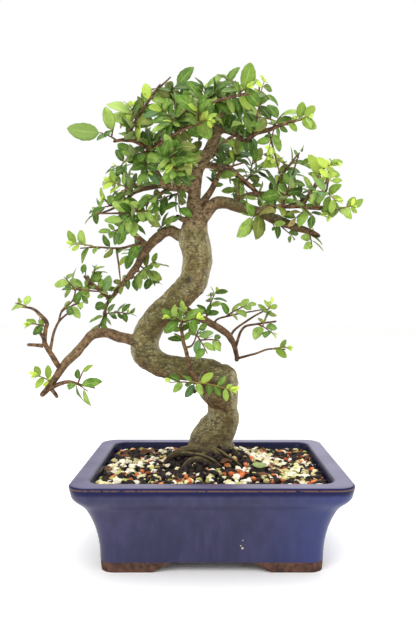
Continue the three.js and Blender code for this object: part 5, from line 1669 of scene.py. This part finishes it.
@dataclass
class Canopy:
    """All sprays of leaves, each on its shoots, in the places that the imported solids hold."""

    tries: int = 9
    forks_at: float = 0.35
    first_leaf_at: float = 0.26
    lone_leaves: int = 2
    lone_leaf_at: float = 0.9
    stem_lift: float = 0.1
    stem_radii: Span = (0.95, 0.45)
    found_within: float = 0.35
    room: float = 0.34
    no_room: float = 9.0
    highest: float = 468.0
    from_left_to_right: Span = (-184, 134)
    bare_from: float = 3.4
    bud_length: float = 12.0
    bud_leaves: Span = (8, 15)
    shown_within: float = 5.0
    first_youth: float = 0.4
    further_youth: float = 0.85
    further_at: Span = (0.12, 0.99)
    further_sizes: Span = (0.55, 0.95)
    age_share: Span = (0.55, 1.0)
    stray_new: float = 0.07
    stray_youth: Span = (0.2, 0.7)
    tone_lean: Span = (1.3, 1.5)
    tone_ends: Span = (0.012, 0.985)
    new_shoot: float = 0.3
    tip_leaves: Span = (4.5, 8.5)
    # The crown's middle in the front view: leaves there are painted darker as shade, those further out
    # paler as painted light
    shaded_middle: Span = (-10, 400)
    shaded_within: float = 75.0
    edge_light_after: float = 70.0
    painted_edge_light_lift: float = 0.14
    shape: LeafShape = field(default_factory=LeafShape)
    filler: LeafShape = field(default_factory=lambda: LeafShape(stations=11, teeth=5))
    leaflet: LeafShape = field(default_factory=lambda: LeafShape(stations=7, teeth=3, fold=0.4, curl=0.02))
    # Where leaves stand close: an oval's x, z and half widths, and how far apart they keep
    dense: Rows = (
        (-21, 413, 72, 52, 0.2), (36, 376, 28, 20, 0.23), (64, 348, 46, 26, 0.3),
        (-76, 348, 30, 30, 0.26), (-101, 272, 18, 18, 0.2), (-61, 254, 18, 16, 0.22),
        (-25, 224, 26, 26, 0.28), (64, 200, 46, 24, 0.5), (-81, 232, 14, 12, 0.28),
    )
    # Where no further leaves grow: an oval's x, z and half widths
    bare: Rows = (
        (77, 458, 30, 26), (-102, 412, 14, 36), (139, 353, 13, 14),
        (119, 313, 14, 12), (-102, 330, 12, 12), (-182, 212, 13, 13),
        (-121, 173, 14, 12), (42, 312, 16, 11), (8, 180, 12, 12),
    )
    # Wood that shows between the leaves: x and z along each stretch of it
    shown: tuple[Rows, ...] = (
        ((-48.7, 359), (-56.3, 381), (-59.5, 393), (-91, 405)), ((-77, 418), (-52, 459)),
        ((-54, 397), (-31, 412), (-9, 421)), ((-10, 340), (-8, 362), (4, 406)),
        ((9, 410), (34, 403), (60, 415)), ((-26, 356), (-47, 358), (-82, 346)),
        ((-1, 439.4), (39, 449.7)), ((6.6, 377.6), (17.5, 375.4), (42.4, 354.8)),
        ((45.7, 427.4), (50, 441.5)), ((20, 377), (32.6, 380.8)),
    )
    # Where the growth is new: x, z and radius
    new_growth: Rows = (
        (97, 425, 17), (64, 386, 10), (116, 376, 20), (133, 340, 18),
        (-105, 358, 12), (-141, 300, 12), (-176, 240, 18), (-166, 162, 18),
        (64, 240, 10), (-1, 254, 9), (26, 154, 12), (76, 194, 9),
        (-6, 422, 9), (47, 464, 14), (-90, 440, 8), (-134, 420, 16),
    )
    taken: np.ndarray = field(default_factory=lambda: np.zeros((6000, 4)))
    count: int = 0

    def choices(
        self, line: StemLine, share: float, rooted: float, turn: int, length: float, draw: Draw
    ) -> list[Leaf]:
        """The ways that one leaf may lie on its shoot, in the order in which the solids try them.

        Args:
            line: The shoot.
            share: How far along it the leaf sits, for its size and its way.
            rooted: How far along it the leaf's foot is.
            turn: The side that it leaves on.
            length: The shoot's leaf length.
            draw: The spray's random numbers.

        Returns:
            The leaves to choose from.
        """
        size = length * (1.05 + 0.45 * draw()) * (1.15 - 0.3 * share)
        width = size * (0.48 + 0.1 * draw())
        base, way = line.at(rooted), line.way(share)
        outward = unit(np.array([base[0], base[1], 0.0]))
        leaves = []
        for attempt in range(self.tries):
            scatter = np.array([draw() - 0.5, draw() - 0.5, draw() - 0.5])
            face = np.array([0.0, -0.7, 0.58]) + 0.3 * outward + 1.5 * scatter
            side = -turn if attempt % 3 == 2 else turn
            chance = draw()
            spread = math.radians(42 + 30 * chance if share < 1 else 24 * chance)
            across = unit(np.cross(way, face)) * side
            along = unit(way * math.cos(spread) + across * math.sin(spread))
            leaves.append(Leaf(base, along, square_on(face, along), size, width))
        return leaves

    def lines(self, spray: Spray, tree: Tree) -> list[StemLine]:
        """The middle lines of a spray's shoots."""
        first = StemLine(tree.nearest(spray.base), drawn(*spray.shoots[0].tip), self.stem_lift)
        fork = first.at(self.forks_at)
        return [first] + [StemLine(fork, drawn(*shoot.tip), self.stem_lift) for shoot in spray.shoots[1:]]

    def youth(self, at: np.ndarray) -> float:
        """How new the growth is at a place, from 0 to 1 and past it in the middle of new growth."""
        return max(nearness(*seen(at), self.new_growth, 1.35), 0.0)

    def spacing(self, at: np.ndarray) -> float:
        """How far apart further leaves keep at a place, as a share of their lengths."""
        place = seen(at)
        if any(within(*place, oval) for oval in self.bare):
            return self.no_room
        return min((oval[4] for oval in self.dense if within(*place, oval)), default=self.room)

    def build(self, tree: Tree, material: Material) -> None:
        """Makes and dresses every spray, then the leaves that grow straight from the branches.

        Args:
            tree: The tree that carries them.
            material: The leaves' material.
        """
        heaps = [Gathered() for _ in SPRAYS]
        draws = [default_rng(500 + index) for index in range(len(SPRAYS))]
        shoots = []
        for index, spray in enumerate(SPRAYS):
            lines = self.lines(spray, tree)
            self._add_first_leaves(heaps[index], index, lines, draws[index])
            shoots += [(index, shoot, line) for shoot, line in zip(spray.shoots, lines)]
        log.info("leaves in the solids' places: %d", self.count)
        for index, _, line in shoots:
            self._add_leaflets(heaps[index], line, draws[index])
        further = sum(self._fill(heaps[index], shoot, line, draws[index]) for index, shoot, line in shoots)
        log.info("leaves between them: %d", further)
        self._along_branches(tree, material)
        for index, heap in enumerate(heaps):
            node = f"spray_{index + 1:02d}"
            dress(heap.build(f"leafy_{node}"), material, "foliage", node)

    def _add_first_leaves(self, heap: Gathered, index: int, lines: list[StemLine], draw: Generator) -> None:
        """Adds the stems of the spray with a number, and the leaves of its solid, each in its place."""
        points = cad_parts[f"spray_{index + 1:02d}"].data.vertices
        corners = spot_tree(three_each(points, "co") / MM - POT_MIDDLE)
        lay = seeded(1000 + index)
        for shoot, line in zip(SPRAYS[index].shoots, lines):
            self._add_stem(heap, line)
            for i in range(shoot.leaves):
                share = 1 - (1 - self.first_leaf_at) * i / max(shoot.leaves - 1, 1)
                rooted = min(share, self.lone_leaf_at) if shoot.leaves <= self.lone_leaves else share
                options = self.choices(line, share, rooted, 1 if i % 2 else -1, shoot.length, lay)
                away = [corners.find(leaf.tip(self.shape.arch))[2] for leaf in options]
                if min(away) <= self.found_within:
                    self._add_leaf(heap, options[int(np.argmin(away))], draw, self.shape, self.first_youth)

    def _add_leaf(
        self, heap: Gathered, leaf: Leaf, draw: Generator, shape: LeafShape, youngest: float
    ) -> None:
        """Adds one leaf with a tone of its own, darker as painted shade near the crown's middle, and an age
        of its own; youngest is how new it may look.
        """
        middle = leaf.middle()
        youth = self.youth(middle) * draw.uniform(*self.age_share) * youngest
        if draw.random() < self.stray_new:
            youth = max(youth, draw.uniform(*self.stray_youth))
        # Painted shade and light: leaves near the crown's middle darker, further out paler
        x, z = seen(middle)
        past = math.hypot(x - self.shaded_middle[0], z - self.shaded_middle[1]) - self.shaded_within
        painted_edge_light = min(max(past / self.edge_light_after, 0.0), 1.0)
        tone = float(np.clip(draw.beta(*self.tone_lean) + self.painted_edge_light_lift * painted_edge_light, *self.tone_ends))
        shape.add(heap, leaf, tone, min(youth, 1.0), draw.random())
        self.taken[self.count] = (*middle, leaf.length)
        self.count += 1

    def _add_stem(self, heap: Gathered, line: StemLine) -> None:
        """Adds a shoot's slim stem, with small swellings."""
        youth = self.youth(line.tip) * 0.8
        shares = np.linspace(0.0, 1.0, 9)
        centres = np.array([line.at(share) for share in shares])
        radii = np.interp(shares, [0, 1], self.stem_radii) * (1 + 0.12 * np.sin(shares * 31.0))
        heap.add(*tube(centres, radii, 6), blade=(0.5, 0.5, 0.0), leaf=(0.5, youth, 1.0))

    def _add_leaflets(self, heap: Gathered, line: StemLine, draw: Generator) -> None:
        """Adds the small new leaves at a shoot's tip: a few where growth is new, else fewer or none."""
        if self.youth(line.tip) > self.new_shoot:
            count = int(draw.integers(3, 6))
        else:
            count = int(draw.integers(2, 4)) if draw.random() < 0.35 else 0
        for _ in range(count):
            along = unit(line.way(1.0) + (draw.random(3) - 0.5) * 1.7 + np.array([0.0, 0.0, 0.2]))
            face = square_on(np.array([0.0, -0.7, 0.6]) + draw.random(3) - 0.5, along)
            length = draw.uniform(*self.tip_leaves)
            leaf = Leaf(line.at(draw.uniform(0.9, 1.0)), along, face, length, length * 0.52)
            self.leaflet.add(heap, leaf, draw.uniform(0.5, 0.98), draw.uniform(0.6, 1.0), draw.random())

    def _fill(self, heap: Gathered, shoot: Shoot, line: StemLine, draw: Generator) -> int:
        """Adds the leaves that grow between a shoot's first ones, where there is room.

        Args:
            heap: The spray's mesh.
            shoot: The shoot.
            line: Its middle line.
            draw: The spray's random numbers for these leaves.

        Returns:
            How many were added.
        """
        added = 0
        steps = 3 * shoot.leaves + 3
        first, last = self.further_at
        for step in range(steps):
            share = min(first + (1 - first) * (step + draw.random() * 0.6) / steps, last)
            length = shoot.length * draw.uniform(*self.further_sizes)
            options = self.choices(line, share, share, 1 if step % 2 else -1, length, draw.random)
            added += self._add_further_leaf(heap, options, draw)
        return added

    def _add_further_leaf(self, heap: Gathered, options: Sequence[Leaf], draw: Generator) -> int:
        """Adds the first of the leaves to choose from that has room; says how many that makes, 0 or 1."""
        leaf = next((option for option in options if self._has_room(option)), None)
        if leaf is None:
            return 0
        self._add_leaf(heap, leaf, draw, self.filler, self.further_youth)
        return 1

    def _has_room(self, leaf: Leaf) -> bool:
        """Whether a further leaf keeps in the plant's outline, off shown wood and clear of the others."""
        middle = leaf.middle()
        left, right = self.from_left_to_right
        if middle[2] > self.highest or not left <= middle[0] <= right or self._hides_wood(*seen(middle)):
            return False
        others = self.taken[: self.count]
        away = np.linalg.norm(others[:, :3] - middle, axis=1)
        return bool(np.all(away > self.spacing(middle) * (leaf.length + others[:, 3])))

    def _hides_wood(self, x: float, z: float) -> bool:
        """Whether a place in the front view is on a limb that shows between the leaves."""
        for stretch in self.shown:
            for (from_x, from_z), (to_x, to_z) in zip(stretch, stretch[1:]):
                run_x, run_z = to_x - from_x, to_z - from_z
                share = ((x - from_x) * run_x + (z - from_z) * run_z) / (run_x**2 + run_z**2)
                share = min(max(share, 0.0), 1.0)
                if math.hypot(x - from_x - run_x * share, z - from_z - run_z * share) < self.shown_within:
                    return True
        return False

    def _along_branches(self, tree: Tree, material: Material) -> None:
        """Adds the leaves that grow straight from the slim wood, as one piece."""
        heap, draw = Gathered(), default_rng(91)
        added = 0
        leafy = [*UPPER_RIGHT, *CROWN_LEFT, *CROWN_TOP, *MIDDLE_LEFT]
        for number, limb in enumerate([*leafy, *LOW_LEFT, *LOW_RIGHT, *FRONT_SHOOT]):
            line = tree.line(limb)
            for row, ahead in zip(line, line[1:]):
                crowded = self.spacing(row[:3]) < self.room
                if row[3] > self.bare_from or (number >= len(leafy) and not crowded):
                    continue
                way = unit(ahead[:3] - row[:3])
                bud = StemLine(row[:3], row[:3] + way * self.bud_length, self.stem_lift)
                for turn in (-1, 1) * (3 if crowded else 1):
                    share, length = draw.uniform(0.1, 0.9), draw.uniform(*self.bud_leaves)
                    options = self.choices(bud, share, share, turn, length, draw.random)
                    added += self._add_further_leaf(heap, options, draw)
        log.info("leaves straight from the branches: %d", added)
        dress(heap.build("leaves_on_branches"), material, "foliage")


@dataclass
class FallenLeaf:
    """The green leaf that has dropped on the soil at the right, with its pale underside up."""

    x: float = 38.0
    y: float = -30.0
    lift: float = 2.2
    along: tuple[float, float, float] = (0.96, 0.28, 0.0)
    face: tuple[float, float, float] = (0.0, 0.5, -0.87)
    length: float = 16.0
    width: float = 8.5
    arch: float = -0.07
    tone: float = 0.62
    turn: float = 0.4

    def build(self, material: Material) -> None:
        """Lays the leaf where its solid lies and dresses it.

        Args:
            material: The leaves' material.
        """
        _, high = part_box("fallen_leaf")
        along = unit(np.array(self.along))
        base = np.array([self.x, self.y, high.z / MM + self.lift])
        leaf = Leaf(base, along, square_on(np.array(self.face), along), self.length, self.width)
        heap = Gathered()
        LeafShape(arch=self.arch).add(heap, leaf, self.tone, 0.0, self.turn)
        dress(heap.build("dropped_leaf"), material, "foliage", "fallen_leaf")


@dataclass
class DrainNets:
    """The nets over the drain holes: their solids keep their shape and get their plastic."""

    nodes: tuple[str, str] = ("drain_net_1", "drain_net_2")

    def build(self) -> None:
        """Dresses both nets."""
        plastic = NetPlastic().build()
        for node in self.nodes:
            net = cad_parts[node]
            net.data.materials.clear()
            net.data.materials.append(plastic)
            log.info("%s: dressed", node)


@dataclass
class Studio:
    """The pale floor, the soft lights and the camera at the photograph's viewing angle, in metres."""

    focal: float = 35.0
    film_width: float = 36.0
    pitch: float = 0.38
    sees_to: float = 50.0
    floor_size: float = 14.0
    lit_point: tuple[float, float, float] = (0.0, 0.0, 0.24)
    lights: tuple[tuple[str, tuple[float, float, float], float, float], ...] = (
        ("key", (-0.9, -1.3, 1.5), 1.3, 17.0),
        ("fill", (1.4, -1.0, 0.9), 1.4, 8.0),
        ("top", (0.1, 0.1, 1.9), 1.6, 14.0),
        ("back", (0.3, 1.5, 1.0), 1.4, 6.0),
    )

    def build(self) -> None:
        """Sets up camera, lights, world and floor."""
        self._camera()
        for name, place, size, power in self.lights:
            self._light(name, Vector(place), size, power)
        world = bpy.data.worlds.new("soft_room")
        world.use_nodes = True
        world.node_tree.nodes["Background"].inputs[0].default_value = (1.0, 1.0, 1.0, 1.0)
        world.node_tree.nodes["Background"].inputs[1].default_value = 1.0
        bpy.context.scene.world = world
        bpy.context.scene.view_settings.view_transform = "Standard"
        half = self.floor_size / 2
        corners = [(-half, -half, 0), (half, -half, 0), (half, half, 0), (-half, half, 0)]
        mesh = bpy.data.meshes.new("floor")
        mesh.from_pydata(corners, [], [(0, 1, 2, 3)])
        floor = placed("floor", mesh)
        floor.data.materials.append(self._floor_finish())

    def _floor_finish(self) -> Material:
        """The floor's pale, slightly uneven finish."""
        bench = Bench("floor")
        colour = bench.mix(bench.noise(400.0, 1.0), (0.985, 0.985, 0.98), (1.0, 0.995, 0.99))
        return bench.finish(Base_Color=colour, Roughness=0.55, Specular_IOR_Level=0.3)

    def _light(self, name: str, place: Vector, size: float, power: float) -> None:
        """Adds one soft light that looks at the tree."""
        data = bpy.data.lights.new(name, "AREA")
        data.shape = "DISK"
        data.size = size
        data.energy = power
        lamp = placed(name, data)
        lamp.location = place
        lamp.rotation_euler = (Vector(self.lit_point) - place).to_track_quat("-Z", "Y").to_euler()

    def _camera(self) -> None:
        """Adds the camera at the viewer's eye."""
        data = bpy.data.cameras.new("viewer")
        data.lens = self.focal
        data.sensor_width = self.film_width
        data.clip_end = self.sees_to
        camera = placed("viewer", data)
        camera.location = Vector((EYE + POT_MIDDLE) * MM)
        camera.rotation_euler = (math.radians(90.0 - self.pitch), 0.0, 0.0)
        bpy.context.scene.camera = camera


def main() -> None:
    """Builds the studio, the pot, the tree, its leaves, the soil and the nets in order."""
    logging.basicConfig(level=logging.INFO, format="%(message)s")
    Studio().build()
    pot = Pot()
    pot.build(Glaze().build())
    tree = Tree()
    tree.build(Bark().build())
    leaves = Foliage().build()
    Canopy().build(tree, leaves)
    Soil().build(pot, tree)
    FallenLeaf().build(leaves)
    DrainNets().build()


if __name__ == "__main__":
    main()
